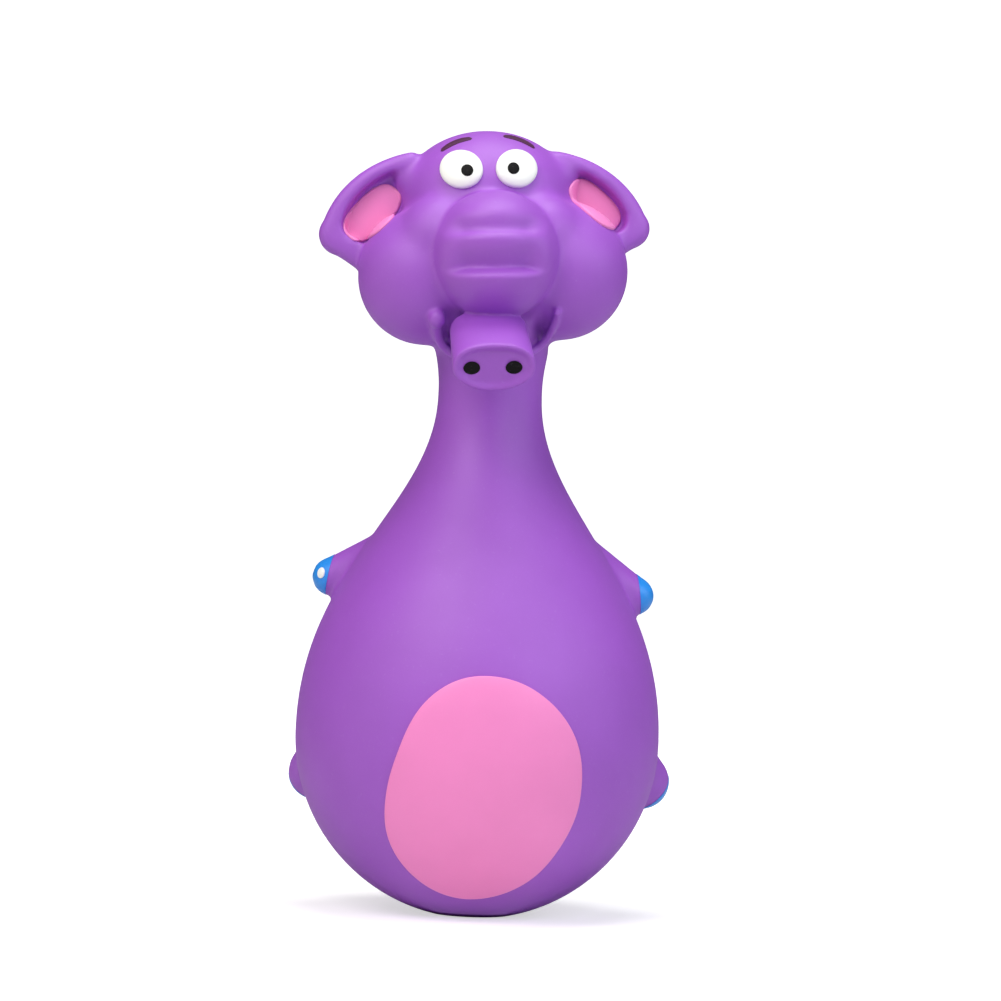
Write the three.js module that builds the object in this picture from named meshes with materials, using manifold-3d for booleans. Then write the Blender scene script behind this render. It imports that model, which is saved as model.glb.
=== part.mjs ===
// Squeaky latex dog toy: a long-necked elephant with a round belly, in millimetres, +Z up.
// The origin is the middle of the flat base. The face looks along -Y, and left and right are
// the viewer's own as they look at the face.
import * as THREE from "three";
import { mergeVertices } from "three/addons/utils/BufferGeometryUtils.js";
import Module from "manifold-3d";

const wasm = await Module();
wasm.setup();

// Skin, seats and cuts
const skin = 2;
const seat = 0.3;
const overrun = 1;
const weld = 0.001;
const sliver = 0.03;

// Belly and neck, one line turned about the toy's axis
const bellyRadius = 41.7;
const baseFlatRadius = 9.2;
const neckRadius = 11.9;
const neckWaistHeight = 118.7;
const shoulderReachShare = 0.916;
const neckReachShare = 0.2157;
const neckFlare = 1.6;
const neckFlareLength = 12;
const bellyTopShare = 0.8256;
const basePad = 4.8;

// Neck bends: it leans at the lower hinge and nods at the upper one
const nodShare = 0.9739;
const headCutHeight = 8;
const headTilt = THREE.MathUtils.degToRad(-3);
const headTurn = THREE.MathUtils.degToRad(4);

// Pink patch on the belly
const patchLeft = 20.4;
const patchRight = 23.4;
const patchTop = 56.4;
const patchFoot = 5.4;
const patchMiddleHeight = 30;
const patchThickness = 0.7;
const ovalBowShare = 0.56;

// Arms and feet: round-ended cones, each seated at a share of the skin line and of a full turn
// about the axis. A limb's root, its tip's middle and where its paint begins are shares of the
// limb's reach, out from the skin, round the belly and up along the skin.
const armRootRadius = 7.9;
const armTipRadius = 4.4;
const footRootRadius = 7.6;
const footTipRadius = 6.5;
const limbReach = 10;
const limbSeatShares = {
  arm_left: [0.615, 0.48],
  arm_right: [0.603, 0.02],
  foot_left: [0.29, 0.452],
  foot_right: [0.303, 0.04],
};
const limbPlaceShares = {
  arm_left: [[-0.679, -0.02, 0.639], [0.277, 0, -0.265], [0.312, 0, -0.262]],
  arm_right: [[-0.681, 0.02, 0.83], [0.2, 0, -0.238], [0.283, -0.01, -0.259]],
  foot_left: [[-0.85, 0.615, 0.394], [-0.303, 0.251, 0.128], [-0.067, 0.071, 0.005]],
  foot_right: [[-0.761, -0.305, 0.364], [-0.137, -0.059, 0.063], [0.134, 0.044, -0.069]],
};
const limbPaintAims = {
  arm_left: [0.939, 0.024, -0.344],
  arm_right: [0.927, -0.024, -0.374],
  foot_left: [0.745, -0.564, -0.357],
  foot_right: [0.847, 0.331, -0.416],
};
const toenailLength = 2.4;
const toenailWidth = 1.8;
const toenailProud = 0.8;
const toenailAim = [-0.775, -0.63, -0.04];

// Head: its height over the nod hinge, and its forms as shares of that height
const headHeight = 63.8;
const headShares = [
  // Head forms, measured from the nod hinge
  ["craniumWidth", 0.3072],
  ["craniumDepth", 0.2821],
  ["craniumRise", 0.2351],
  ["craniumHeight", 0.7649],
  ["coreWidth", 0.2821],
  ["coreDepth", 0.2586],
  ["coreRise", 0.2665],
  ["coreHeight", 0.5643],
  ["cheekRadius", 0.2461],
  ["cheekReach", 0.2382],
  ["cheekForward", 0.1066],
  ["cheekAside", 0.0125],
  ["cheekHeight", 0.4812],
  ["bridgeRadius", 0.1489],
  ["cheekFillet", 0.0784],
  ["neckFillet", 0.0784],
  ["chinWidth", 0.2351],
  ["chinDepth", 0.1332],
  ["chinRise", 0.1254],
  ["chinForward", 0.1097],
  ["chinHeight", 0.3135],
  // Trunk: a big wrinkled roll and the short tube that comes out from under it
  ["trunkRadius", 0.2288],
  ["trunkAside", 0.0078],
  ["trunkForward", 0.2978],
  ["trunkHeight", 0.5455],
  ["wrinkleDepth", 0.0219],
  ["wrinkleWidth", 0.0345],
  ["tipHalfWidth", 0.1528],
  ["tipHalfHeight", 0.0784],
  ["tipAside", -0.0078],
  ["tipForward", 0.5799],
  ["tipHeight", 0.1395],
  ["tipLength", 0.3135],
  ["tipRim", 0.0204],
  ["tipRecess", 0.0110],
  ["nostrilRadius", 0.0235],
  ["nostrilReach", 0.0745],
  ["nostrilDrop", 0.0055],
  ["nostrilDepth", 0.0251],
  // Mouth: a raised lip on each side of the tube, with a round nub at its upper end
  ["lipRadius", 0.0219],
  ["lipNubRadius", 0.0313],
  ["lipReach", 0.2226],
  ["lipTopHeight", 0.3323],
  ["lipDrop", 0.1379],
  // Eyes and brows
  ["eyeHalfWidth", 0.0737],
  ["eyeHalfHeight", 0.0674],
  ["eyeProud", 0.0282],
  ["eyeReach", 0.0961],
  ["eyeAside", -0.0063],
  ["eyeHeight", 0.8495],
  ["pupilRadius", 0.0212],
  ["pupilInset", 0.0141],
  ["pupilAside", 0.0024],
  ["pupilThickness", 0.0063],
  ["browRadius", 0.0118],
  ["browReach", 0.1661],
  ["browSpan", 0.1129],
  ["browHeight", 0.9169],
  ["browRise", 0.0455],
  // Ears: hung from a root on the cranium, with a hollow and a padded liner in it
  ["earAside", -0.0110],
  ["earLeftLift", 0.0094],
  ["earSpan", 0.3292],
  ["earDrop", 0.3840],
  ["earThickness", 0.1097],
  ["earRound", 0.0329],
  ["earFrontForward", 0.0862],
  ["earHollow", 0.0627],
  ["linerThickness", 0.0172],
  ["linerHalfLength", 0.1160],
  ["linerHalfWidth", 0.0611],
];

// Shares and angles of the head's forms
const bridgePlaceShares = [0.72, -0.82, 0.53];
const wrinkleRiseShares = [0.43, -0.26];
const wrinkleSpanShare = 0.92;
const tipSlope = THREE.MathUtils.degToRad(26);
const tipSquareShares = [0.69, 0.87];
const tipDishShare = 1.6;
const lipReachShares = {
  left: [0.92, 0.93, 0.84, 0.68, 0.46],
  right: [1, 0.98, 0.86, 0.69, 0.5],
};
const lipDropShares = [0, 0.3, 0.6, 0.85, 1];
const earRootReachShare = 0.847;
const earTopShare = 0.647;
const earRootRunShare = 0.68;
const earSweep = THREE.MathUtils.degToRad(8);
const earFoldBack = THREE.MathUtils.degToRad(30);
const earFoldForward = THREE.MathUtils.degToRad(12);
const linerRound = 0.3;
const linerSlant = THREE.MathUtils.degToRad(-42);
const linerMiddleShares = [0.43, -0.56];

// Squeaker: a flanged plug that snaps into the base, with a reed clamped between two half rounds
const plugRadius = 5.6;
const plugHeight = 12.7;
const plugWall = 1;
const plugFloor = 1.2;
const flangeRadius = 7.2;
const flangeThickness = 1.2;
const beadStandOut = 0.9;
const beadHeight = 1.4;
const soundHoleRadius = 1.4;
const capThickness = 1;
const capHoleRadius = 2;
const capPlugDepth = 0.9;
const reedWidth = 3.4;
const reedThickness = 0.2;
const reedLength = 9.2;
const reedGrooveWidth = 2.4;
const reedGrooveDepth = 2;
const wedgeHeight = 4;

// Net counts
const bellySides = 36;
const bellyRows = 18;
const innerRows = 11;
const neckRows = 7;
const patchSteps = 9;
const limbSides = 18;
const limbRows = 6;
const nailSides = 14;
const nailRows = 8;
const headColumns = 40;
const headRows = 26;
const headInnerColumns = 22;
const headInnerRows = 15;
const trunkColumns = 56;
const trunkRows = 12;
const tipSides = 24;
const nostrilSides = 16;
const lipSides = 5;
const lipSteps = 8;
const nubColumns = 12;
const nubRows = 7;
const eyeColumns = 20;
const eyeRows = 12;
const pupilSides = 14;
const browSides = 4;
const browSteps = 6;
const earSteps = 6;
const linerSteps = 8;
const squeakerSides = 24;
const reedSteps = 12;
const halvings = 30;

// Paint and rubber finishes: colour, roughness, metalness
const finishes = {
  purple: [0xa264d2, 0.55, 0],
  pink: [0xf78cd2, 0.5, 0],
  blue: [0x289bf5, 0.45, 0],
  white: [0xf2f5ee, 0.35, 0],
  black: [0x0d0b0d, 0.35, 0],
  brown: [0x4a2140, 0.6, 0],
  fibre: [0xf1efe8, 0.95, 0],
  plastic: [0xe9e7df, 0.4, 0],
  reed: [0xd9dde0, 0.3, 0],
};

// Solids

// A closed geometry as a solid, facing out, whatever way its profile runs
function solid(geometry) {
  const bare = new THREE.BufferGeometry();
  bare.setAttribute("position", geometry.getAttribute("position").clone());
  if (geometry.index) {
    bare.setIndex(geometry.index.clone());
  }
  const merged = mergeVertices(bare, weld);
  const corners = [];
  const index = merged.index.array;
  for (let i = 0; i < index.length; i += 3) {
    const [a, b, c] = [index[i], index[i + 1], index[i + 2]];
    if (a !== b && b !== c && c !== a) {
      corners.push(a, b, c);
    }
  }
  const build = (triVerts) =>
    new wasm.Manifold(
      new wasm.Mesh({
        numProp: 3,
        vertProperties: new Float32Array(merged.attributes.position.array),
        triVerts: new Uint32Array(triVerts),
      }),
    );
  const made = build(corners);
  return made.volume() < 0 ? build(corners.reverse()) : made;
}

// The largest body of a cut solid, without the slivers that a cut leaves
function mainBody(cut) {
  const [body] = cut.decompose().sort((a, b) => b.volume() - a.volume());
  return body.simplify(sliver);
}

function geometryOf(body) {
  const mesh = body.getMesh();
  const geometry = new THREE.BufferGeometry();
  geometry.setAttribute("position", new THREE.BufferAttribute(mesh.vertProperties, 3));
  geometry.setIndex(new THREE.BufferAttribute(mesh.triVerts, 1));
  geometry.computeVertexNormals();
  return geometry;
}

// A profile of [radius, height] points turned about Z
function turned(points, sides) {
  const line = points.map(([radius, height]) => new THREE.Vector2(radius, height));
  return new THREE.LatheGeometry(line, sides).rotateX(Math.PI / 2);
}

// A flat shape in X and Z, given its thickness along Y from its front at y = front
function plate(shape, thickness, front, round = 0, steps = 8) {
  const geometry = new THREE.ExtrudeGeometry(shape, {
    depth: thickness - 2 * round,
    bevelEnabled: round > 0,
    bevelThickness: round,
    bevelSize: round,
    bevelOffset: -round,
    bevelSegments: 2,
    curveSegments: steps,
  });
  return geometry.rotateX(Math.PI / 2).translate(0, front + thickness - round, 0);
}

// Rings with equal counts of points, skinned one to the next and closed at both ends
function loft(rings) {
  const count = rings[0].length;
  const places = rings.flat();
  const corners = [];
  for (let r = 0; r + 1 < rings.length; r += 1) {
    for (let i = 0; i < count; i += 1) {
      const a = r * count + i;
      const b = r * count + ((i + 1) % count);
      corners.push(a, b, b + count, a, b + count, a + count);
    }
  }
  for (const [ring, flip] of [[0, true], [rings.length - 1, false]]) {
    const middle = rings[ring].reduce((sum, p) => sum.add(p), new THREE.Vector3());
    const hub = places.push(middle.divideScalar(count)) - 1;
    for (let i = 0; i < count; i += 1) {
      const a = ring * count + i;
      const b = ring * count + ((i + 1) % count);
      corners.push(...(flip ? [hub, b, a] : [hub, a, b]));
    }
  }
  return new THREE.BufferGeometry().setFromPoints(places).setIndex(corners);
}

// A round bar along a curve
function bar(path, radius, sides, steps) {
  const section = new THREE.Shape();
  section.absarc(0, 0, radius, 0, 2 * Math.PI, false);
  return new THREE.ExtrudeGeometry(section, {
    extrudePath: path,
    steps,
    curveSegments: sides,
    bevelEnabled: false,
  });
}

// Forms that give a point's distance from their surface, negative inside
function ellipsoid(middle, radii) {
  const offset = new THREE.Vector3();
  return (point) => {
    offset.subVectors(point, middle).divide(radii);
    const share = offset.length();
    const slope = offset.divide(radii).length();
    return slope > 0 ? (share * (share - 1)) / slope : -Math.min(radii.x, radii.y, radii.z);
  };
}

function rod(from, to, radius) {
  const line = new THREE.Line3(from, to);
  const near = new THREE.Vector3();
  return (point) => line.closestPointToPoint(point, true, near).distanceTo(point) - radius;
}

// Forms melted together with a fillet of the given reach
function melted(reach, ...forms) {
  return (point) =>
    forms.reduce((near, form) => {
      const next = form(point);
      const meet = Math.max(reach - Math.abs(near - next), 0) / reach;
      return Math.min(near, next) - (meet * meet * reach) / 4;
    }, Infinity);
}

// The last place along a ray, from outside in, where a form's distance falls to the level
function skinReach(form, from, ray, level) {
  const point = new THREE.Vector3();
  const away = (length) => form(point.copy(from).addScaledVector(ray, length)) - level;
  const step = skin / 2;
  let outside = 2 * bellyRadius;
  while (away(outside - step) > 0) {
    outside -= step;
  }
  let inside = outside - step;
  for (let turn = 0; turn < halvings; turn += 1) {
    const middle = (inside + outside) / 2;
    if (away(middle) > 0) {
      outside = middle;
    } else {
      inside = middle;
    }
  }
  return inside;
}

// A ball's net drawn out from a middle point to the skin of a form
function wrapped(form, middle, columns, rows, level = 0, poleAlongX = false) {
  const ball = new THREE.SphereGeometry(1, columns, rows);
  if (poleAlongX) {
    ball.rotateZ(Math.PI / 2);
  } else {
    ball.rotateX(Math.PI / 2);
  }
  const net = ball.getAttribute("position");
  const ray = new THREE.Vector3();
  for (let i = 0; i < net.count; i += 1) {
    ray.fromBufferAttribute(net, i).normalize();
    ray.multiplyScalar(skinReach(form, middle, ray.clone(), level)).add(middle);
    net.setXYZ(i, ray.x, ray.y, ray.z);
  }
  return ball;
}

// A matrix that stands a shape's +Z along a direction at a place
function facing(place, direction) {
  const up = new THREE.Vector3(0, 0, 1);
  const turn = new THREE.Quaternion().setFromUnitVectors(up, direction.clone().normalize());
  return new THREE.Matrix4().compose(place, turn, new THREE.Vector3(1, 1, 1));
}

// A turn about an axis that passes through a place
function turnAbout(place, axis, angle) {
  return new THREE.Matrix4()
    .makeTranslation(place.x, place.y, place.z)
    .multiply(new THREE.Matrix4().makeRotationAxis(axis, angle))
    .multiply(new THREE.Matrix4().makeTranslation(-place.x, -place.y, -place.z));
}

function at(x, y, z) {
  return new THREE.Vector3(x, y, z);
}

function moved(body, matrix) {
  return solid(geometryOf(body).applyMatrix4(matrix));
}

// Heights that follow the neck's waist
const bellyTopHeight = bellyTopShare * neckWaistHeight;
const nodHeight = nodShare * neckWaistHeight;

// The head's lengths
const face = Object.fromEntries(headShares.map(([name, share]) => [name, share * headHeight]));

// Nodes
const toy = new THREE.Group();
const head = new THREE.Group();
head.position.set(0, 0, nodHeight);
head.rotation.set(0, headTilt, headTurn, "ZYX");
toy.add(head);
head.updateMatrixWorld(true);

function addNode(group, name, finish, body) {
  const [color, roughness, metalness] = finishes[finish];
  const material = new THREE.MeshStandardMaterial({ color, roughness, metalness });
  const mesh = new THREE.Mesh(geometryOf(body), material);
  mesh.name = name;
  group.add(mesh);
  return body;
}

// Belly and neck skin

const bellyCentre = Math.sqrt(bellyRadius ** 2 - baseFlatRadius ** 2);
const skinLine = new THREE.Path();
skinLine.absarc(0, bellyCentre, bellyRadius, -Math.acos(baseFlatRadius / bellyRadius), 0, false);
skinLine.bezierCurveTo(
  bellyRadius,
  bellyCentre + shoulderReachShare * bellyRadius,
  neckRadius,
  neckWaistHeight * (1 - neckReachShare),
  neckRadius,
  neckWaistHeight,
);
skinLine.quadraticCurveTo(
  neckRadius,
  neckWaistHeight + neckFlareLength / 2,
  neckRadius + neckFlare,
  neckWaistHeight + neckFlareLength,
);

function lineShareAt(height) {
  let low = 0;
  let high = 1;
  for (let turn = 0; turn < halvings; turn += 1) {
    const middle = (low + high) / 2;
    if (skinLine.getPoint(middle).y < height) {
      low = middle;
    } else {
      high = middle;
    }
  }
  return (low + high) / 2;
}

// Points of the skin line between two heights, moved out by an offset
function skinPoints(low, high, offset, count) {
  const from = lineShareAt(low);
  const to = lineShareAt(high);
  return Array.from({ length: count + 1 }, (unused, i) => {
    const share = from + ((to - from) * i) / count;
    const place = skinLine.getPoint(share);
    const run = skinLine.getTangent(share);
    return [place.x + run.y * offset, place.y - run.x * offset];
  });
}

const fillSides = bellySides / 2;
const plugHoleRadius = plugRadius + seat;
const flangeSeatRadius = flangeRadius + seat;
const flangeSeatDepth = flangeThickness + 2 * seat;
const padMeetHeight = bellyCentre - Math.sqrt((bellyRadius - skin) ** 2 - (2 * plugHoleRadius) ** 2);

function bellyShell() {
  const inner = skinPoints(padMeetHeight + skin, bellyTopHeight, -skin, innerRows);
  const floor = inner.filter(([, height]) => height > basePad + weld);
  return solid(
    turned(
      [
        [plugHoleRadius, flangeSeatDepth],
        [flangeSeatRadius, flangeSeatDepth],
        [flangeSeatRadius, 0],
        ...skinPoints(0, bellyTopHeight, 0, bellyRows),
        ...floor.reverse(),
        [padMeetRadius(), basePad],
        [plugHoleRadius, basePad],
        [plugHoleRadius, flangeSeatDepth],
      ],
      bellySides,
    ),
  );
}

// Where the pad round the squeaker runs out into the belly's inner wall
function padMeetRadius() {
  return Math.sqrt((bellyRadius - skin) ** 2 - (bellyCentre - basePad) ** 2);
}

// The belly's outside as one closed form, moved out by an offset, to cut what stands on it
function bellyBlock(offset, top) {
  const line = skinPoints(0, top, offset, bellyRows);
  return solid(turned([[0, line[0][1]], ...line, [0, line[line.length - 1][1]]], bellySides));
}

// Everything above the neck's cut, or below it, in the head's own frame
function neckCutBlock(below, gap) {
  const size = 4 * neckRadius;
  const middle = below ? headCutHeight + gap - size / 2 : headCutHeight - gap + size / 2;
  return new THREE.BoxGeometry(size, size, size).translate(0, 0, middle);
}

const aboveNeck = solid(neckCutBlock(false, seat).applyMatrix4(head.matrixWorld));
const neckEnd = neckWaistHeight + neckFlareLength;

function neckSleeve() {
  const outer = skinPoints(bellyTopHeight + seat, neckEnd, 0, neckRows);
  const inner = skinPoints(bellyTopHeight + seat, neckEnd, -skin, neckRows);
  const ring = solid(turned([...outer, ...inner.reverse(), outer[0]], bellySides));
  return ring.subtract(aboveNeck);
}

function neckFill() {
  const side = skinPoints(bellyTopHeight + seat, neckEnd, -skin - seat, neckRows);
  const core = solid(turned([[0, side[0][1]], ...side, [0, side[side.length - 1][1]]], fillSides));
  return core.subtract(aboveNeck);
}

const capTop = seat + plugHeight + seat + capThickness;

function bellyFill() {
  const pocketRadius = flangeSeatRadius;
  const pocketTop = capTop + seat;
  const side = skinPoints(padMeetHeight + skin, bellyTopHeight, -skin - seat, innerRows);
  const wall = side.filter(([, height]) => height > basePad + 2 * seat);
  const footRadius = padMeetRadius() - seat;
  return solid(
    turned(
      [
        [0, pocketTop],
        [pocketRadius, pocketTop],
        [pocketRadius, basePad + seat],
        [footRadius, basePad + seat],
        ...wall,
        [0, wall[wall.length - 1][1]],
      ],
      fillSides,
    ),
  );
}

addNode(toy, "belly_shell", "purple", bellyShell());
addNode(toy, "neck_sleeve", "purple", neckSleeve());
addNode(toy, "belly_fill", "fibre", bellyFill());
addNode(toy, "neck_fill", "fibre", neckFill());

// Belly patch: an egg-shaped piece of the skin's own curve, a paint film thick

function ovalShape(left, right, top, foot, middle) {
  const bow = ovalBowShare;
  const shape = new THREE.Shape();
  shape.moveTo(0, top);
  shape.bezierCurveTo(right * bow, top, right, middle + (top - middle) * bow, right, middle);
  shape.bezierCurveTo(right, middle - (middle - foot) * bow, right * bow, foot, 0, foot);
  shape.bezierCurveTo(-left * bow, foot, -left, middle - (middle - foot) * bow, -left, middle);
  shape.bezierCurveTo(-left, middle + (top - middle) * bow, -left * bow, top, 0, top);
  return shape;
}

const patchOutline = ovalShape(patchLeft, patchRight, patchTop, patchFoot, patchMiddleHeight);
const patchColumn = solid(plate(patchOutline, 2 * bellyRadius, -2 * bellyRadius, 0, patchSteps));
const patchFilm = bellyBlock(seat + patchThickness, bellyTopHeight).subtract(
  bellyBlock(seat, bellyTopHeight),
);
addNode(toy, "belly_patch", "pink", mainBody(patchFilm.intersect(patchColumn)));

// Limbs: a blunt cone from inside the belly out to a round tip, the tip painted as a hoof

// A frame on the skin at a limb's seat: out of the skin, round the belly, up the skin
function limbFrame(name) {
  const [share, turn] = limbSeatShares[name];
  const place = skinLine.getPoint(share);
  const run = skinLine.getTangent(share);
  return new THREE.Matrix4()
    .makeBasis(at(run.y, 0, -run.x), at(0, 1, 0), at(run.x, 0, run.y))
    .setPosition(place.x, 0, place.y)
    .premultiply(new THREE.Matrix4().makeRotationZ(2 * Math.PI * turn));
}

function limbPlaces(name) {
  const frame = limbFrame(name);
  const place = (shares) => at(...shares).multiplyScalar(limbReach).applyMatrix4(frame);
  return limbPlaceShares[name].map(place);
}

function limbForm(root, tip, rootRadius, tipRadius) {
  const run = tip.clone().sub(root);
  const points = [[0, 0], [rootRadius, 0]];
  for (let i = 0; i <= limbRows; i += 1) {
    const turn = ((Math.PI / 2) * i) / limbRows;
    points.push([tipRadius * Math.cos(turn), run.length() + tipRadius * Math.sin(turn)]);
  }
  return solid(turned(points, limbSides).applyMatrix4(facing(root, run)));
}

const limbCutter = bellyBlock(seat, neckEnd);

function addLimb(kind, word, rootRadius, tipRadius) {
  const name = `${kind}_${word}`;
  const [root, tip, edge] = limbPlaces(name);
  const aim = at(...limbPaintAims[name]).transformDirection(limbFrame(name));
  const reach = edge.dot(aim);
  const form = limbForm(root, tip, rootRadius, tipRadius).subtract(limbCutter);
  const hoof = form.trimByPlane(aim.toArray(), reach);
  const stub = form.trimByPlane(aim.negate().toArray(), seat - reach);
  addNode(toy, name, "purple", mainBody(stub));
  addNode(toy, `${kind}_hoof_${word}`, "blue", mainBody(hoof));
}

const sides = [[-1, "left"], [1, "right"]];
for (const [, word] of sides) {
  addLimb("foot", word, footRootRadius, footTipRadius);
}
for (const [, word] of sides) {
  addLimb("arm", word, armRootRadius, armTipRadius);
}

// One white toenail on the left arm's hoof, standing upright on its outer front
function toenail() {
  const aim = at(...toenailAim).normalize();
  const tip = limbPlaces("arm_left")[1];
  const dome = new THREE.SphereGeometry(1, nailSides, nailRows);
  dome.scale(toenailLength / 2, toenailWidth / 2, toenailProud);
  dome.rotateZ(Math.atan2(aim.y, aim.x));
  const middle = tip.clone().addScaledVector(aim, armTipRadius);
  const hoof = new THREE.SphereGeometry(armTipRadius + seat, 2 * limbSides, 2 * limbRows);
  const nail = solid(dome.applyMatrix4(facing(middle, aim)));
  return mainBody(nail.subtract(solid(hoof.translate(tip.x, tip.y, tip.z))));
}

addNode(toy, "toenail", "white", toenail());

// Head skin

function cheekForm(side) {
  const middle = at(side * face.cheekReach + face.cheekAside, -face.cheekForward, face.cheekHeight);
  return ellipsoid(middle, at(face.cheekRadius, face.cheekRadius, face.cheekRadius));
}

// The swelling between a cheek, the eye over it and the trunk
function bridgeForm(side) {
  const [out, back, up] = bridgePlaceShares.map((share) => share * face.cheekRadius);
  const middle = at(side * out, back, face.cheekHeight + up);
  return ellipsoid(middle, at(face.bridgeRadius, face.bridgeRadius, face.bridgeRadius));
}

const headMiddle = at(0, -face.cheekForward / 3, face.coreHeight);
const headForm = melted(
  face.neckFillet,
  melted(
    face.cheekFillet,
    ellipsoid(at(0, 0, face.craniumHeight), at(face.craniumWidth, face.craniumDepth, face.craniumRise)),
    ellipsoid(at(0, 0, face.coreHeight), at(face.coreWidth, face.coreDepth, face.coreRise)),
    ellipsoid(
      at(0, -face.chinForward, face.chinHeight),
      at(face.chinWidth, face.chinDepth, face.chinRise),
    ),
    ...sides.flatMap(([side]) => [cheekForm(side), bridgeForm(side)]),
  ),
  rod(at(0, 0, -headCutHeight), at(0, 0, face.cheekHeight - face.cheekRadius / 2), neckRadius + seat),
);

function headNet(columns, rows, level) {
  return solid(wrapped(headForm, headMiddle, columns, rows, level));
}

const headOuter = headNet(headColumns, headRows, 0);
const headCutter = headNet(headColumns, headRows, seat);
const headInner = headNet(headInnerColumns, headInnerRows, -skin);
const headStuffing = headNet(headInnerColumns, headInnerRows, -skin - seat);
const belowHead = solid(neckCutBlock(true, 0));
addNode(head, "head_shell", "purple", headOuter.subtract(headInner).subtract(belowHead));
addNode(head, "head_fill", "fibre", headStuffing.subtract(solid(neckCutBlock(true, seat))));

// The head's surface straight in front of a place, and the way it faces there
function facePoint(x, z) {
  const from = at(x, 0, z);
  const forward = at(0, -1, 0);
  return from.addScaledVector(forward, skinReach(headForm, from.clone(), forward, 0));
}

function faceNormal(point) {
  const slope = (axis) => {
    const ahead = point.clone().addScaledVector(axis, seat);
    const behind = point.clone().addScaledVector(axis, -seat);
    return headForm(ahead) - headForm(behind);
  };
  return at(slope(at(1, 0, 0)), slope(at(0, 1, 0)), slope(at(0, 0, 1))).normalize();
}

// Trunk: a ball on the face, creased across its front by wrinkles that fade at the sides

function trunkForm(point) {
  const rise = point.z - face.trunkHeight;
  const forward = -point.y - face.trunkForward;
  const aside = point.x - face.trunkAside;
  const away = Math.hypot(aside, rise, forward) - face.trunkRadius;
  const fade = Math.max(1 - (aside / (face.trunkRadius * wrinkleSpanShare)) ** 4, 0);
  const crease = wrinkleRiseShares.reduce((sum, share) => {
    const apart = (Math.atan2(rise, forward) - Math.asin(share)) * face.trunkRadius;
    return sum + Math.exp(-((apart / face.wrinkleWidth) ** 2));
  }, 0);
  return away + face.wrinkleDepth * crease * fade;
}

function trunkNet(level) {
  const middle = at(face.trunkAside, -face.trunkForward, face.trunkHeight);
  return solid(wrapped(trunkForm, middle, trunkColumns, trunkRows, level, true));
}

const trunkBall = trunkNet(0);
const trunkCutter = trunkNet(seat);
addNode(head, "trunk", "purple", mainBody(trunkBall.subtract(headCutter)));

// Trunk tip: a short flat tube that slopes forward and down, with a dished end and two nostrils

const tipAim = at(0, -Math.cos(tipSlope), -Math.sin(tipSlope));
const tipUp = at(0, -Math.sin(tipSlope), Math.cos(tipSlope));
const tipEnd = at(face.tipAside, -face.tipForward, face.tipHeight);

function tipRing(back, width, height) {
  return Array.from({ length: tipSides }, (unused, i) => {
    const angle = (2 * Math.PI * i) / tipSides;
    const square = tipSquareShares[Math.sin(angle) > weld ? 0 : 1];
    const round = (value) => Math.sign(value) * Math.abs(value) ** square;
    return tipEnd
      .clone()
      .addScaledVector(tipAim, -back)
      .addScaledVector(at(1, 0, 0), width * round(Math.cos(angle)))
      .addScaledVector(tipUp, height * round(Math.sin(angle)));
  });
}

function trunkTip() {
  const rows = [
    [face.tipLength, -face.tipRim, -face.tipRim / 2],
    [face.tipLength / 2, -face.tipRim, -face.tipRim / 2],
    [2 * face.tipRim, -face.tipRim / 2, -face.tipRim / 3],
    [face.tipRim, 0, 0],
    [face.tipRim / 3, 0, 0],
    [0, -face.tipRim / 2, -face.tipRim / 2],
    [face.tipRecess / 3, -face.tipRim, -face.tipRim],
    [face.tipRecess, -2 * face.tipRim, -tipDishShare * face.tipRim],
  ];
  const [width, height] = [face.tipHalfWidth, face.tipHalfHeight];
  const rings = rows.map(([back, wide, high]) => tipRing(back, width + wide, height + high));
  const radius = face.nostrilRadius + seat;
  const holes = sides.map(([side]) => nostrilRound(side, radius, -overrun, face.nostrilDepth));
  return holes.reduce((body, hole) => body.subtract(hole), solid(loft(rings)));
}

// A nostril's round, from one depth behind the tip's end to another
function nostrilRound(side, radius, from, to) {
  const place = tipEnd.clone().addScaledVector(tipAim, -to).addScaledVector(tipUp, -face.nostrilDrop);
  place.add(at(side * face.nostrilReach, 0, 0));
  const length = to - from;
  const round = new THREE.CylinderGeometry(radius, radius, length, nostrilSides);
  round.rotateX(Math.PI / 2);
  return solid(round.translate(0, 0, length / 2).applyMatrix4(facing(place, tipAim)));
}

const tipBody = mainBody(trunkTip().subtract(trunkCutter).subtract(headCutter));
addNode(head, "trunk_tip", "purple", tipBody);
for (const [side, word] of sides) {
  const pad = nostrilRound(side, face.nostrilRadius, face.tipRecess, face.nostrilDepth - seat);
  addNode(head, `nostril_${word}`, "black", pad);
}

// Mouth: a lip that runs down from a nub on the cheek and in behind the trunk tip

function mouthLip(side, word) {
  const places = lipReachShares[word].map((share, i) => {
    const height = face.lipTopHeight - face.lipDrop * lipDropShares[i];
    const spot = facePoint(side * face.lipReach * share, height);
    return spot.addScaledVector(faceNormal(spot), seat);
  });
  const ridge = solid(bar(new THREE.CatmullRomCurve3(places), face.lipRadius, lipSides, lipSteps));
  const ball = new THREE.SphereGeometry(face.lipNubRadius, nubColumns, nubRows);
  const nub = solid(ball.translate(places[0].x, places[0].y, places[0].z));
  return mainBody(ridge.add(nub).subtract(headCutter).subtract(trunkCutter));
}

for (const [side, word] of sides) {
  addNode(head, `mouth_lip_${word}`, "purple", mouthLip(side, word));
}

// Eyes: domes that lie on the cranium, each with a pupil that looks a little inwards

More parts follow.
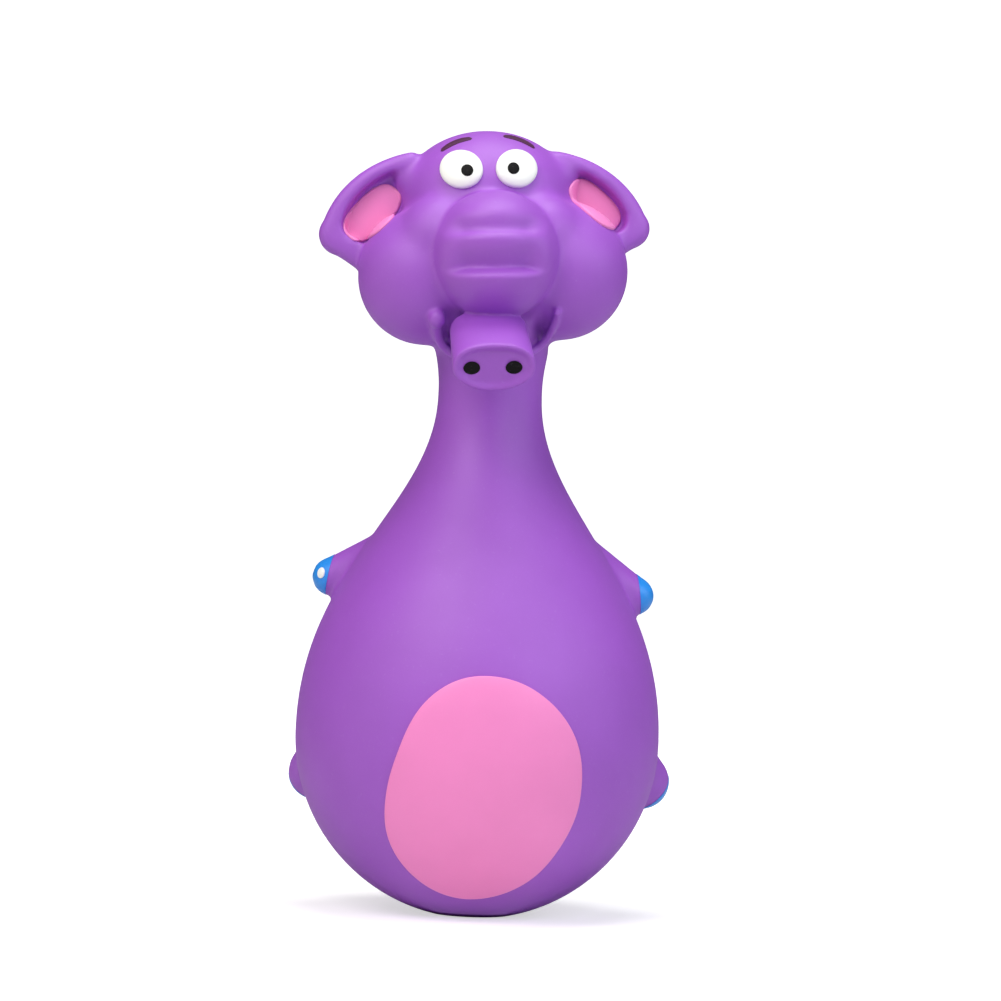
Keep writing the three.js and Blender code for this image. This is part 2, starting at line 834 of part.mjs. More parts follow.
function eyeDome(side, level) {
  const spot = facePoint(side * face.eyeReach + face.eyeAside, face.eyeHeight);
  const dome = new THREE.SphereGeometry(1, eyeColumns, eyeRows);
  dome.scale(face.eyeHalfWidth + level, face.eyeHalfHeight + level, face.eyeProud + seat + level);
  return solid(dome.applyMatrix4(facing(spot, faceNormal(spot))));
}

function pupil(side) {
  const spot = facePoint(side * face.eyeReach + face.eyeAside, face.eyeHeight);
  const aside = face.eyeAside + face.pupilAside;
  const place = facePoint(side * (face.eyeReach - face.pupilInset) + aside, face.eyeHeight);
  const length = 2 * face.eyeProud + 2 * face.pupilThickness + 2 * seat;
  const post = new THREE.CylinderGeometry(face.pupilRadius, face.pupilRadius, length, pupilSides);
  post.rotateX(Math.PI / 2).translate(0, 0, length / 2);
  const column = solid(post.applyMatrix4(facing(place, faceNormal(spot))));
  return column.intersect(eyeDome(side, seat + face.pupilThickness)).subtract(eyeDome(side, seat));
}

for (const [side, word] of sides) {
  addNode(head, `eye_${word}`, "white", mainBody(eyeDome(side, 0).subtract(headCutter)));
  addNode(head, `pupil_${word}`, "black", mainBody(pupil(side)));
}

// Brows: a thin raised stroke over each eye, rising towards the middle of the forehead
function brow(side) {
  const places = [0, 0.5, 1].map((share) => {
    const bow = face.browRadius * Math.sin(Math.PI * share);
    const out = face.browReach - face.browSpan * share;
    const spot = facePoint(side * out, face.browHeight + face.browRise * share);
    return spot.addScaledVector(faceNormal(spot), seat).add(at(0, 0, bow / 2));
  });
  const stroke = solid(bar(new THREE.CatmullRomCurve3(places), face.browRadius, browSides, browSteps));
  return mainBody(stroke.subtract(headCutter));
}

for (const [side, word] of sides) {
  addNode(head, `brow_${word}`, "brown", brow(side));
}

// Ears: an outline with a rolled edge, a hollow in its front and a liner pad in the hollow

// The top of an ear's root, on the flap's front
function earTop(side) {
  const out = earRootReachShare * face.craniumWidth;
  const height = face.craniumHeight + earTopShare * face.craniumRise;
  const lift = side < 0 ? face.earLeftLift : 0;
  return at(side * out + face.earAside, -face.earFrontForward, height + lift);
}

function earPoint(side, run, drop) {
  const top = earTop(side);
  return new THREE.Vector2(top.x + side * face.earSpan * run, top.z + face.earDrop * drop);
}

function earShape(side, shares) {
  const shape = new THREE.Shape();
  const [start, ...curves] = shares;
  const first = earPoint(side, start[0], start[1]);
  shape.moveTo(first.x, first.y);
  for (const curve of curves) {
    const [a, b, c] = curve.map(([run, drop]) => earPoint(side, run, drop));
    shape.bezierCurveTo(a.x, a.y, b.x, b.y, c.x, c.y);
  }
  return shape;
}

const earOutlineShares = [
  [-0.1, 0.03],
  [[0.46, -0.02], [0.87, -0.3], [1, -0.7]],
  [[1.03, -0.8], [0.99, -0.88], [0.9, -0.9]],
  [[0.8, -0.94], [0.7, -0.99], [0.58, -1.06]],
  [[0.3, -1], [-0.1, -0.6], [-0.1, 0.03]],
];
const earHollowShares = [
  [-0.06, -0.12],
  [[0.4, -0.11], [0.68, -0.32], [0.8, -0.6]],
  [[0.82, -0.68], [0.79, -0.75], [0.72, -0.78]],
  [[0.64, -0.8], [0.56, -0.84], [0.46, -0.88]],
  [[0.3, -0.88], [-0.06, -0.6], [-0.06, -0.12]],
];

function earRoot(side) {
  const top = earTop(side).add(at(0, face.earThickness / 2, 0));
  const run = at(side * face.earSpan * earRootRunShare, 0, -face.earDrop).normalize();
  return { top, axis: side < 0 ? run : run.negate() };
}

// Cuts from an ear's piece what the head would meet anywhere in the ear's fold
function clearOfHead(side, body) {
  const { top, axis } = earRoot(side);
  const steps = [-earFoldForward, 0, earFoldBack / 2, earFoldBack];
  return steps.reduce(
    (left, angle) => left.subtract(moved(headCutter, turnAbout(top, axis, -angle))),
    body,
  );
}

function addEar(side, word) {
  const { top, axis } = earRoot(side);
  const sweep = turnAbout(top, axis, earSweep);
  const front = -face.earFrontForward;
  const outline = earShape(side, earOutlineShares);
  const flap = plate(outline, face.earThickness, front, face.earRound, earSteps);
  const hollowShape = earShape(side, earHollowShares);
  const hollow = plate(hollowShape, face.earHollow + overrun, front - overrun, 0, earSteps);
  const ear = solid(flap).subtract(solid(hollow));
  addNode(head, `ear_${word}`, "purple", mainBody(clearOfHead(side, moved(ear, sweep))));

  const middle = earPoint(side, linerMiddleShares[0], linerMiddleShares[1]);
  const oval = new THREE.Shape();
  const slant = side * linerSlant;
  const [length, width] = [face.linerHalfLength, face.linerHalfWidth];
  oval.absellipse(middle.x, middle.y, length, width, 0, 2 * Math.PI, false, slant);
  const linerFront = front + face.earHollow - seat - face.linerThickness;
  const liner = solid(plate(oval, face.linerThickness, linerFront, linerRound, linerSteps));
  addNode(head, `ear_liner_${word}`, "pink", mainBody(clearOfHead(side, moved(liner, sweep))));
}

for (const [side, word] of sides) {
  addEar(side, word);
}

// Squeaker plug: flange under the base, snap bead above the pad, sound hole in its floor

const plugFoot = seat;
const plugTop = plugFoot + plugHeight;
const boreRadius = plugRadius - plugWall;
const beadFoot = basePad + seat;

addNode(
  toy,
  "squeaker_housing",
  "plastic",
  solid(
    turned(
      [
        [soundHoleRadius, plugFoot],
        [flangeRadius, plugFoot],
        [flangeRadius, plugFoot + flangeThickness],
        [plugRadius, plugFoot + flangeThickness],
        [plugRadius, beadFoot],
        [plugRadius + beadStandOut, beadFoot],
        [plugRadius, beadFoot + beadHeight],
        [plugRadius, plugTop],
        [boreRadius, plugTop],
        [boreRadius, plugFoot + plugFloor],
        [soundHoleRadius, plugFoot + plugFloor],
        [soundHoleRadius, plugFoot],
      ],
      squeakerSides,
    ),
  ),
);

addNode(
  toy,
  "squeaker_cap",
  "plastic",
  solid(
    turned(
      [
        [capHoleRadius, plugTop - capPlugDepth],
        [boreRadius - seat, plugTop - capPlugDepth],
        [boreRadius - seat, plugTop + seat],
        [plugRadius, plugTop + seat],
        [plugRadius, capTop],
        [capHoleRadius, capTop],
        [capHoleRadius, plugTop - capPlugDepth],
      ],
      squeakerSides,
    ),
  ),
);

// Reed: a thin strip between a grooved half round and a shorter wedge that clamps its foot

const reedFoot = plugFoot + plugFloor + seat;
const holderRadius = boreRadius - seat;
const holderHeight = plugTop - capPlugDepth - seat - reedFoot;

function halfRound(flat, back, groove) {
  const edge = Math.sqrt(holderRadius ** 2 - flat ** 2);
  const shape = new THREE.Shape();
  const start = Math.asin(flat / holderRadius);
  shape.moveTo(edge, back * flat);
  shape.absarc(0, 0, holderRadius, back * start, back * (Math.PI - start), back < 0);
  if (groove > 0) {
    shape.lineTo(-groove / 2, back * flat);
    shape.lineTo(-groove / 2, back * (flat + reedGrooveDepth));
    shape.lineTo(groove / 2, back * (flat + reedGrooveDepth));
    shape.lineTo(groove / 2, back * flat);
  }
  return shape;
}

function upright(shape, height) {
  const options = { depth: height, bevelEnabled: false, curveSegments: reedSteps };
  return solid(new THREE.ExtrudeGeometry(shape, options).translate(0, 0, reedFoot));
}

const reedFace = reedThickness / 2 + seat;
addNode(toy, "reed_seat", "plastic", upright(halfRound(reedFace, 1, reedGrooveWidth), holderHeight));
addNode(toy, "reed_wedge", "plastic", upright(halfRound(reedFace, -1, 0), wedgeHeight));
const reedMiddle = reedFoot + reedLength / 2;
const strip = new THREE.BoxGeometry(reedWidth, reedThickness, reedLength);
addNode(toy, "reed", "reed", solid(strip.translate(0, 0, reedMiddle)));

export default toy;
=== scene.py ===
import math

import bpy
import numpy as np
from bpy.props import FloatProperty, FloatVectorProperty, PointerProperty
from bpy.types import Operator, Panel, PropertyGroup
from mathutils import Matrix, Vector, noise


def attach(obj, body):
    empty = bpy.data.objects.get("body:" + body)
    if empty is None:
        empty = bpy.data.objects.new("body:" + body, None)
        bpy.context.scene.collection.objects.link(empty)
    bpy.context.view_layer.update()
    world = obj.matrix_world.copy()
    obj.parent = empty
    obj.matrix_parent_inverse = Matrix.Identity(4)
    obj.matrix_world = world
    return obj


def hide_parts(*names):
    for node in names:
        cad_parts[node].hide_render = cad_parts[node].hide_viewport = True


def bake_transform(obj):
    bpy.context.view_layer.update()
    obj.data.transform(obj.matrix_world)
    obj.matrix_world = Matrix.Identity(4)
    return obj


bl_info = {
    "name": "Squeaky Latex Elephant",
    "version": (1, 0, 0),
    "blender": (4, 5, 0),
    "location": "View3D > Sidebar > Toy",
    "description": "A long-necked latex elephant dog toy with a round belly and a reed squeaker",
    "category": "Add Mesh",
}

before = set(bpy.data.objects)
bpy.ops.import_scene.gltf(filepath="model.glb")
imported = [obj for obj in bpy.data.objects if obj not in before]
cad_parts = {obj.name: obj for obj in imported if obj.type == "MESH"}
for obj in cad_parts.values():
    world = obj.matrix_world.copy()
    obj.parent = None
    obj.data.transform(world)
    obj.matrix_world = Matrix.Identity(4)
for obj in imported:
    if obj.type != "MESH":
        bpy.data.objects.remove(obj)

MM = 0.001
SIDES = (("left", -1), ("right", 1))
# A length or a slope under this is taken as none
TINY = 1e-6
# The latex's wall, and the gap between it and what fills it
SKIN = 2 * MM
SEAT = 0.3 * MM
# A Bezier handle's length as a share of the radius, for a quarter circle
CIRCLE_HANDLE = 0.5523
SMOOTH_ANGLE = math.radians(50)
# How far off a skin is looked at when something is laid on it
SIGHT = 90 * MM
# The neck's skins keep its profile up to a height and leave it over the next stretch
FIT_TOP = 116 * MM
FIT_FADE = 6 * MM
# The belly's skin keeps the profile up from this far below its top edge, and leaves it below
SEAM_BELOW = 2 * MM
SEAM_FADE = 4 * MM
# Each fused form's mesh size, and how many times it is softened
MELTS = {
    "belly skin": (0.7 * MM, 12),
    "belly filling": (1.2 * MM, 0),
    "head base": (0.7 * MM, 50),
    "head with roll": (0.5 * MM, 14),
    "head skin": (0.42 * MM, 3),
    "head cavity": (1.0 * MM, 2),
    "head filling": (1.0 * MM, 0),
}
# Each paint's crown, flat near 0 and pointed near 1, its lift off the skin, its columns and rows
FILMS = {
    # The toenail film is a white spot of painted highlight on the left arm's hoof
    "toenail": (0.6, 0.01 * MM, 48, 24),
    "patch": (0.34, 0.03 * MM, 192, 80),
    "eye": (0.62, 0.02 * MM, 96, 48),
    "pupil": (0.6, 0.01 * MM, 48, 24),
    "brow": (0.6, 0.02 * MM, 64, 24),
    "nostril": (0.6, 0.1 * MM, 48, 24),
    "liner": (0.4, 0.02 * MM, 96, 40),
}


# Properties


def length(about, value):
    return FloatProperty(description=about, default=value * MM, unit="LENGTH", precision=5)


def place(about, *value):
    spot = [v * MM for v in value]
    return FloatVectorProperty(
        description=about, default=spot, subtype="TRANSLATION", unit="LENGTH", precision=5
    )


def angle(about, degrees):
    return FloatProperty(description=about, default=math.radians(degrees), unit="ROTATION")


def colour(about, code):
    channels = [int(code[i : i + 2], 16) / 255 for i in (0, 2, 4)]
    linear = [c / 12.92 if c <= 0.04045 else ((c + 0.055) / 1.055) ** 2.4 for c in channels]
    return FloatVectorProperty(
        description=about, default=linear + [1], size=4, subtype="COLOR", min=0, max=1
    )


class BodySizes(PropertyGroup):
    belly_radius: length("Radius of the round belly", 41.7)
    base_radius: length("Radius of the flat that the toy stands on", 9.2)
    neck_radius: length("Radius at the neck's waist", 11.9)
    waist_height: length("Height of the neck's waist", 118.7)
    shoulder_reach: length("How far the belly's curve carries up", 38.2)
    neck_reach: length("How far the neck's curve carries down", 25.6)
    flare: length("How much the neck widens under the head", 1.6)
    flare_length: length("Height of the neck's flare", 12)
    paint_clear: length("How far a limb's paint stays off the belly's wall", 0.1)
    paint_depth: length("Most that a limb's paint reaches back to the belly", 4)
    belly_top: length("Height at which the belly's piece meets the neck's", 93)
    lean_top: length("Height at which the leaning neck meets the nodding neck", 110)
    pad_height: length("Thick floor round the squeaker", 4.8)
    plug_hole: length("Radius of the hole that the squeaker sits in", 5.9)
    flange_seat: length("Radius of the seat for the squeaker's flange", 7.5)
    flange_depth: length("Depth of the seat for the flange", 1.8)
    pocket_top: length("Top of the fibre's pocket for the squeaker", 14.6)


class LimbSizes(PropertyGroup):
    arm_root: length("Radius of an arm at its root", 8.1)
    arm_tip: length("Radius of an arm's round end", 4.4)
    foot_root: length("Radius of a foot at its root", 7.6)
    foot_tip: length("Radius of a foot's round end", 6.5)
    paint: length("How proud the hoof paint stands", 0.12)
    # The white spot on the left arm's hoof is a painted highlight: its middle, half sizes and height
    nail: place("Middle of the white toenail on the left arm's hoof", -37.7, 0, 76.75)
    highlight_width: length("Half the toenail's width", 1.0)
    highlight_rise: length("Half the toenail's height", 1.25)
    highlight_proud: length("How proud the toenail stands", 0.25)


class HeadSizes(PropertyGroup):
    nod_height: length("Height of the hinge between the neck and the head", 115.6)
    cut_height: length("The head's piece starts this far above the hinge", 8)
    tilt: angle("Head's lean to its side", -3)
    turn: angle("Head's turn about the neck", 4)
    cranium_middle: place("Middle of the skull's dome", 0, 0, 48.8)
    cranium: place("Half sizes of the skull's dome", 19.6, 18.2, 15.2)
    core_middle: place("Middle of the form between the cheeks", 0, 0, 36)
    core: place("Half sizes of the form between the cheeks", 18, 16.5, 17)
    nape_middle: place("Middle of the form behind the neck's top", 0, 0.4, 21)
    nape: length("Half width of the nape", 13)
    cheek_left: place("Middle of the left cheek", -14.4, -6.8, 30.5)
    cheek_right: place("Middle of the right cheek", 15.9, -6.8, 31.3)
    cheek: length("Radius of a cheek", 15.8)
    chin_middle: place("Middle of the chin", 0, -7, 20)
    chin: place("Half sizes of the chin", 15, 8.5, 8)
    bridge_middle: place("Middle of the form between cheek and roll", 11.5, -13, 39)
    bridge: length("Radius of the form between cheek and roll", 9.8)
    temple_middle: place("Middle of the form over an ear's root", 16.9, -2, 53.6)
    temple: length("Radius of the form over an ear's root", 4.6)


class TrunkSizes(PropertyGroup):
    middle: place("Middle of the trunk's big roll", 0.5, -19, 34.8)
    radius: length("Radius of the trunk's big roll", 14.6)
    upper_crease: angle("The upper wrinkle's rise above the roll's middle", 25.5)
    lower_crease: angle("The lower wrinkle's rise above the roll's middle", -15)
    upper_depth: length("How deep the upper wrinkle is", 1.7)
    lower_depth: length("How deep the lower wrinkle is", 3.0)
    end: place("Middle of the trunk's flat end", -1.3, -37, 9.2)
    slope: angle("How far the tip points down", 26)
    tip_length: length("Length of the short tube", 20)
    half_width: length("Half the width of the end", 9.3)
    half_height: length("Half the height of the end", 5.75)
    rim: length("Width of the rolled rim", 1.2)
    rim_round: length("Radius of the rim's edges", 0.45)
    recess: length("Depth of the dish inside the rim", 0.8)
    nostril_reach: length("From the middle to a nostril", 4.7)
    nostril_shift: length("How far both nostrils sit to the right", -0.25)
    nostril_radius: length("Half the width of a nostril", 1.75)
    nostril_drop: length("How far the nostrils sit below the end's middle", 0.35)


class EarSizes(PropertyGroup):
    root: place("Top of the right ear's root", 16.6, -5.5, 58.5)
    span: length("From an ear's root to its tip", 21)
    drop: length("From the top to the right ear's lowest point", 24.3)
    longer: length("How much further down the left ear reaches", 0.9)
    shift: length("How far both ears sit to the right", -0.7)
    lift: length("How much higher the left ear sits", 0.1)
    thickness: length("Thickness of the flap", 7)
    rounding: length("Radius of the flap's edges", 2.1)
    hollow: length("Depth of the hollow", 4.4)
    sweep: angle("How far the ear leans back", 8)
    cut: length("The ear's piece starts this far out from the root line", 1.6)
    bend: length("Width of the strip that bends when the ear folds", 5)


class FaceSizes(PropertyGroup):
    eye_reach: length("From the middle of the face to an eye", 6.13)
    eye_shift: length("How far both eyes sit to the right", -0.4)
    eye_height: length("Height of the eyes above the nod hinge", 54.2)
    eye_width: length("Half the width of an eye", 4.7)
    eye_rise: length("Half the height of an eye", 4.3)
    eye_proud: length("How far an eye stands out", 1.5)
    pupil_radius: length("Radius of a pupil", 1.35)
    pupil_inset: length("How far a pupil looks inwards", 0.9)
    pupil_shift: length("How far both pupils look to the right", 0.15)
    brow_reach: length("From the middle of the face to a brow's outer end", 10.6)
    brow_span: length("Width of a brow", 7.2)
    brow_height: length("Height of a brow's outer end", 58.5)
    brow_rise: length("How much a brow rises inwards", 2.9)
    brow_thickness: length("Half the width of the stroke", 0.48)
    brow_bow: length("How far the stroke bows up", 0.6)


class PatchSizes(PropertyGroup):
    left: length("From the belly's middle to the left edge", 20.4)
    right: length("From the belly's middle to the right edge", 23.4)
    top: length("Height of the top edge", 57)
    foot: length("Height of the lowest edge", 6)
    middle: length("Height at which the patch is widest", 30)
    thickness: length("How proud the patch stands", 0.9)


class Colours(PropertyGroup):
    purple: colour("Dipped purple latex", "9E4FC8")
    pink: colour("Belly patch and ear liners", "F68ACA")
    blue: colour("Hooves", "1C92F0")
    # White also paints the highlight spot on the left arm's hoof
    white: colour("Eyes and toenail", "F6F8F2")
    black: colour("Pupils and nostrils", "0A080A")
    brown: colour("Brows", "4E2247")
    fibre: colour("Loose polyester filling", "F1EFE8")
    plastic: colour("Squeaker", "E9E7DF")
    film: colour("Vibrating reed", "D5DADD")


class StageSizes(PropertyGroup):
    distance: length("From the camera to the toy", 1100)
    height: length("Height of the lens", 110)
    view_width: length("Width of the picture at the toy", 229.5)
    aim: place("Middle of the picture", 3.3, 0, 94.95)
    roll: angle("Lean of the camera", 2.2)


# Selecting and finishing


def unpick():
    bpy.ops.object.select_all(action="DESELECT")


def pick(*objects):
    unpick()
    for thing in objects:
        thing.select_set(True)
    bpy.context.view_layer.objects.active = objects[0]
    return objects[0]


def named(name, thing=None):
    thing = thing or bpy.context.object
    thing.name = name
    thing.data.name = name
    return thing


def copy_of(thing, name):
    pick(thing)
    bpy.ops.object.duplicate()
    return named(name)


def joined(name, *objects):
    pick(*objects)
    bpy.ops.object.join()
    return named(name, objects[0])


def edit(thing):
    pick(thing)
    open_mesh()
    bpy.ops.mesh.select_mode(type="FACE")
    bpy.ops.mesh.select_all(action="SELECT")


def open_mesh():
    bpy.ops.object.mode_set(mode="EDIT")


def done():
    bpy.ops.object.mode_set(mode="OBJECT")


def outward(thing):
    edit(thing)
    bpy.ops.mesh.remove_doubles(threshold=TINY)
    bpy.ops.mesh.normals_make_consistent(inside=False)
    done()
    foremost = min(thing.data.polygons, key=lambda face: face.center.y)
    return flipped(thing) if foremost.normal.y > 0 else thing


def flipped(thing):
    edit(thing)
    bpy.ops.mesh.flip_normals()
    done()
    return thing


def points_of(thing, kind="co"):
    flat = np.empty(len(thing.data.vertices) * 3, np.float32)
    thing.data.vertices.foreach_get(kind, flat)
    return flat.reshape(-1, 3).astype(float)


def normals_of(thing):
    return points_of(thing, "normal")


def set_points(thing, points):
    thing.data.vertices.foreach_set("co", points.astype(np.float32).ravel())
    thing.data.update()
    return thing


def moved(thing, matrix):
    thing.data.transform(matrix)
    thing.data.update()
    return thing


def smoothstep(values, low, high):
    share = np.clip((values - low) / (high - low), 0, 1)
    return share * share * (3 - 2 * share)


def apply_modifiers(thing):
    pick(thing)
    for modifier in list(thing.modifiers):
        bpy.ops.object.modifier_apply(modifier=modifier.name)
    return thing


def melt(thing, form):
    """Forms fused into one skin, its creases filled softly"""
    voxel, rounds = MELTS[form]
    remesh = thing.modifiers.new("Melt", "REMESH")
    remesh.mode = "VOXEL"
    remesh.voxel_size = voxel
    soften = thing.modifiers.new("Soften", "SMOOTH")
    soften.factor = 0.5
    soften.iterations = rounds
    return apply_modifiers(thing)


def shrink(thing, depth):
    """A form drawn in by a depth all round"""
    wall = thing.modifiers.new("Wall", "DISPLACE")
    wall.mid_level = 0
    wall.strength = -depth
    return apply_modifiers(thing)


def cut(thing, point, normal, keep_outer, behind=-math.inf):
    """Keeps one side of a plane and closes the cut; what is in front of behind stays whole"""
    edit(thing)
    bpy.ops.mesh.select_all(action="DESELECT")
    done()
    for face in thing.data.polygons:
        face.select = face.center.y > behind
    open_mesh()
    bpy.ops.mesh.bisect(
        plane_co=point,
        plane_no=normal,
        use_fill=True,
        clear_inner=keep_outer,
        clear_outer=not keep_outer,
        threshold=1e-7,
    )
    bpy.ops.mesh.select_all(action="DESELECT")
    done()
    face_cut(thing, point, normal, -1 if keep_outer else 1)
    return thing


def cut_level(thing, height, keep_above):
    return cut(thing, (0, 0, height), (0, 0, 1), keep_above)


def face_cut(thing, point, normal, side):
    """The faces that close a cut look away from the material"""
    out = Vector(normal).normalized() * side
    middle = Vector(point)
    for face in thing.data.polygons:
        apart = abs((face.center - middle).dot(out))
        face.select = apart < TINY and face.normal.dot(out) < -0.9
    pick(thing)
    open_mesh()
    bpy.ops.mesh.flip_normals()
    bpy.ops.mesh.select_all(action="DESELECT")
    done()


def finish_piece(thing, finish, nodes, body=None):
    thing.data.materials.clear()
    thing.data.materials.append(material(finish))
    pick(thing)
    bpy.ops.object.shade_smooth_by_angle(angle=SMOOTH_ANGLE)
    if body:
        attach(thing, body)
    if nodes:
        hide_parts(*nodes)
    return thing


# Forms


def ball(name, middle, radii, segments=96, rings=64):
    unpick()
    bpy.ops.mesh.primitive_uv_sphere_add(
        segments=segments, ring_count=rings, radius=1, location=middle
    )
    bpy.context.object.scale = radii
    bpy.ops.object.transform_apply(location=True, rotation=True, scale=True)
    return named(name)


def curve_points(name, points, closed=False, steps=24):
    """A line of Bezier points, each given as its two handles and its place, made a mesh"""
    unpick()
    bpy.ops.curve.primitive_bezier_curve_add(location=(0, 0, 0))
    curve = bpy.context.object
    spline = curve.data.splines[0]
    spline.bezier_points.add(len(points) - 2)
    spline.use_cyclic_u = closed
    for knot, (before, here, after) in zip(spline.bezier_points, points):
        knot.handle_left_type = "FREE"
        knot.handle_right_type = "FREE"
        knot.co = (here[0], 0, here[1])
        knot.handle_left = (before[0], 0, before[1])
        knot.handle_right = (after[0], 0, after[1])
    curve.data.resolution_u = steps
    bpy.ops.object.convert(target="MESH")
    return named(name)


def spun(name, points, sides=160, steps=24):
    """A profile turned about the toy's axis"""
    thing = curve_points(name, points, steps=steps)
    pick(thing)
    open_mesh()
    bpy.ops.mesh.select_all(action="SELECT")
    bpy.ops.mesh.spin(
        steps=sides, angle=2 * math.pi, center=(0, 0, 0), axis=(0, 0, 1), use_auto_merge=True
    )
    done()
    return outward(thing)


def corner(radius, height):
    return ((radius, height),) * 3


def belly_middle(sizes):
    """Height of the belly's middle over the flat that it stands on"""
    return math.sqrt(sizes.belly_radius**2 - sizes.base_radius**2)


def body_line(sizes, inset=0.0, top=()):
    """The profile of the belly and neck, from the axis under the belly to the flare's top"""
    belly = sizes.belly_radius - inset
    middle = belly_middle(sizes)
    neck = sizes.neck_radius - inset
    waist = sizes.waist_height
    flare = neck + sizes.flare
    end = waist + sizes.flare_length
    bow = CIRCLE_HANDLE * belly
    return [
        ((0, middle - belly), (0, middle - belly), (bow, middle - belly)),
        ((belly, middle - bow), (belly, middle), (belly, middle + sizes.shoulder_reach)),
        ((neck, waist - sizes.neck_reach), (neck, waist), (neck, waist + sizes.flare_length / 3)),
        ((flare - sizes.flare * 2 / 3, end - sizes.flare_length / 3), (flare, end), (flare, end)),
        *top,
    ]


def hollow_line(sizes, inset, low):
    """The profile inside the wall, from the edge of the thick floor to the axis in the neck"""
    inner = sizes.belly_radius - inset
    middle = belly_middle(sizes)
    meet = math.sqrt(inner**2 - (middle - low) ** 2)
    start = math.atan2(low - middle, meet)
    bow = 4 / 3 * math.tan(-start / 4) * inner
    run = Vector((-math.sin(start), math.cos(start))) * bow
    wall = body_line(sizes, inset)
    return [
        ((meet, low), (meet, low), (meet + run.x, low + run.y)),
        ((inner, middle - bow), wall[1][1], wall[1][2]),
        (wall[2][0], wall[2][1], wall[2][1]),
        corner(0, sizes.waist_height),
    ]


def line_radius(sizes, heights, inset=0.0):
    """The profile's radius at given heights above the belly's middle"""
    knots = body_line(sizes, inset)[1:]
    share = np.linspace(0, 1, 400)[:, None]
    runs = []
    for start, end in zip(knots, knots[1:]):
        a, b, c, d = (np.array(p) for p in (start[1], start[2], end[0], end[1]))
        runs.append(
            a * (1 - share) ** 3
            + 3 * b * share * (1 - share) ** 2
            + 3 * c * share**2 * (1 - share)
            + d * share**3
        )
    line = np.vstack(runs)
    return np.interp(heights, line[:, 1], line[:, 0])


def fit_neck(thing, sizes, weight, inset=0.0):
    """Sets a skin exactly on the neck's profile, as far as a weight for each point says"""
    points = points_of(thing)
    away = np.hypot(points[:, 0], points[:, 1])
    want = line_radius(sizes, points[:, 2], inset)
    weight = weight * (np.abs(away - want) < SKIN / 2)
    scale = 1 + weight * (want / np.maximum(away, TINY) - 1)
    points[:, 0] *= scale
    points[:, 1] *= scale
    return set_points(thing, points)


def fit_head(thing, sizes, inset=0.0):
    """Sets the head's skin on the profile below the head"""
    heights = points_of(thing)[:, 2]
    weight = 1 - smoothstep(heights, FIT_TOP, FIT_TOP + FIT_FADE)
    return fit_neck(thing, sizes, weight, inset)


def fit_belly(thing, sizes, inset=0.0):
    """Sets the belly's skin on the profile where it meets the neck's"""
    top = sizes.belly_top - SEAM_BELOW
    weight = smoothstep(points_of(thing)[:, 2], top - SEAM_FADE, top)
    return fit_neck(thing, sizes, weight, inset)


def limb_form(name, root, tip, thick, thin):
    """A blunt cone with a round end"""
    run = tip - root
    turn = run.to_track_quat("Z", "Y").to_matrix().to_4x4()
    unpick()
    bpy.ops.mesh.primitive_cone_add(
        vertices=64, radius1=thick, radius2=thin, depth=run.length, location=(0, 0, 0)
    )
    cone = moved(named(name), Matrix.Translation((root + tip) / 2) @ turn)
    return joined(name, cone, ball(name + "_end", tip, (thin,) * 3, 64, 32))


# The filling's lumps and the tufts on them: how large they are and how deep
LUMP, LUMP_DEPTH = 3.2 * MM, 0.3
TUFT, TUFT_DEPTH = 1.1 * MM, 0.15
PRESSED_IN = 0.45


def tufted(thing, seed):
    """Loose fibre's lumpy outside, pressed in from its form's own"""
    points = points_of(thing)
    ways = normals_of(thing)
    for index, spot in enumerate(points):
        lump = noise.noise(Vector(spot) / LUMP + Vector((seed, 0, 0)))
        tuft = noise.noise(Vector(spot) / TUFT + Vector((0, seed, 0)))
        points[index] -= ways[index] * MM * (PRESSED_IN + LUMP_DEPTH * lump + TUFT_DEPTH * tuft)
    return set_points(thing, points)


def mirrored(vector, side):
    return Vector((vector[0] * side, vector[1], vector[2]))


def limb_end(thing, name, point, aim, body):
    """A closed copy of a limb's end beyond a plane, without the belly's wall beside it"""
    tip = cut(copy_of(thing, name), point, aim, True)
    belly = Vector((0, 0, belly_middle(body)))
    out = point - belly
    wall = max(body.belly_radius + body.paint_clear, out.length - body.paint_depth)
    return cut(tip, belly + out.normalized() * wall, out, True)


def thicken_paint(thing, point, aim, depth):
    """Paint built up on a limb's end, its cut edge left in the plane"""
    points = points_of(thing) + normals_of(thing) * depth
    aim = np.array(aim.normalized())
    behind = np.minimum((points - np.array(point)) @ aim, 0)
    return set_points(thing, points - behind[:, None] * aim)


def seen_from(carrier, start, look):
    """Where a line of sight meets a skin, and the skin's normal there"""
    hit, spot, normal, _ = carrier.ray_cast(start, look)
    if not hit:
        raise RuntimeError(f"nothing of {carrier.name} is seen from {tuple(start)}")
    return spot, normal


def film(name, kind, carrier, middle, look, across, outline, height, bow=0.0):
    """A film of paint laid on a skin: it follows the skin under it and has a rounded edge.
    look is the way the skin is looked at, across is the film's own sideways, and outline
    gives the film's reach at an angle from across towards up."""
    fullness, lift, columns, rows = FILMS[kind]
    look = Vector(look).normalized()
    across = (Vector(across) - look * Vector(across).dot(look)).normalized()
    up = across.cross(look)
    if up.z < 0:
        up.negate()
    unpick()
    bpy.ops.mesh.primitive_uv_sphere_add(segments=columns, ring_count=rows, radius=1)
    thing = named(name)
    points = points_of(thing)
    for index, (x, y, z) in enumerate(points):
        turn = math.atan2(y, x)
        flat = math.hypot(x, y)
        ring = flat**fullness
        crown = max(z, 0) ** fullness
        reach = outline(turn) * ring
        aside = reach * math.cos(turn)
        rise = reach * math.sin(turn) + bow * (1 - (aside / outline(0)) ** 2)
        spot = Vector(middle) + across * aside + up * rise
        spot, normal = seen_from(carrier, spot - look * SIGHT, look)
        points[index] = spot + normal * (lift + height * crown)
    set_points(thing, points)
    return outward(thing)


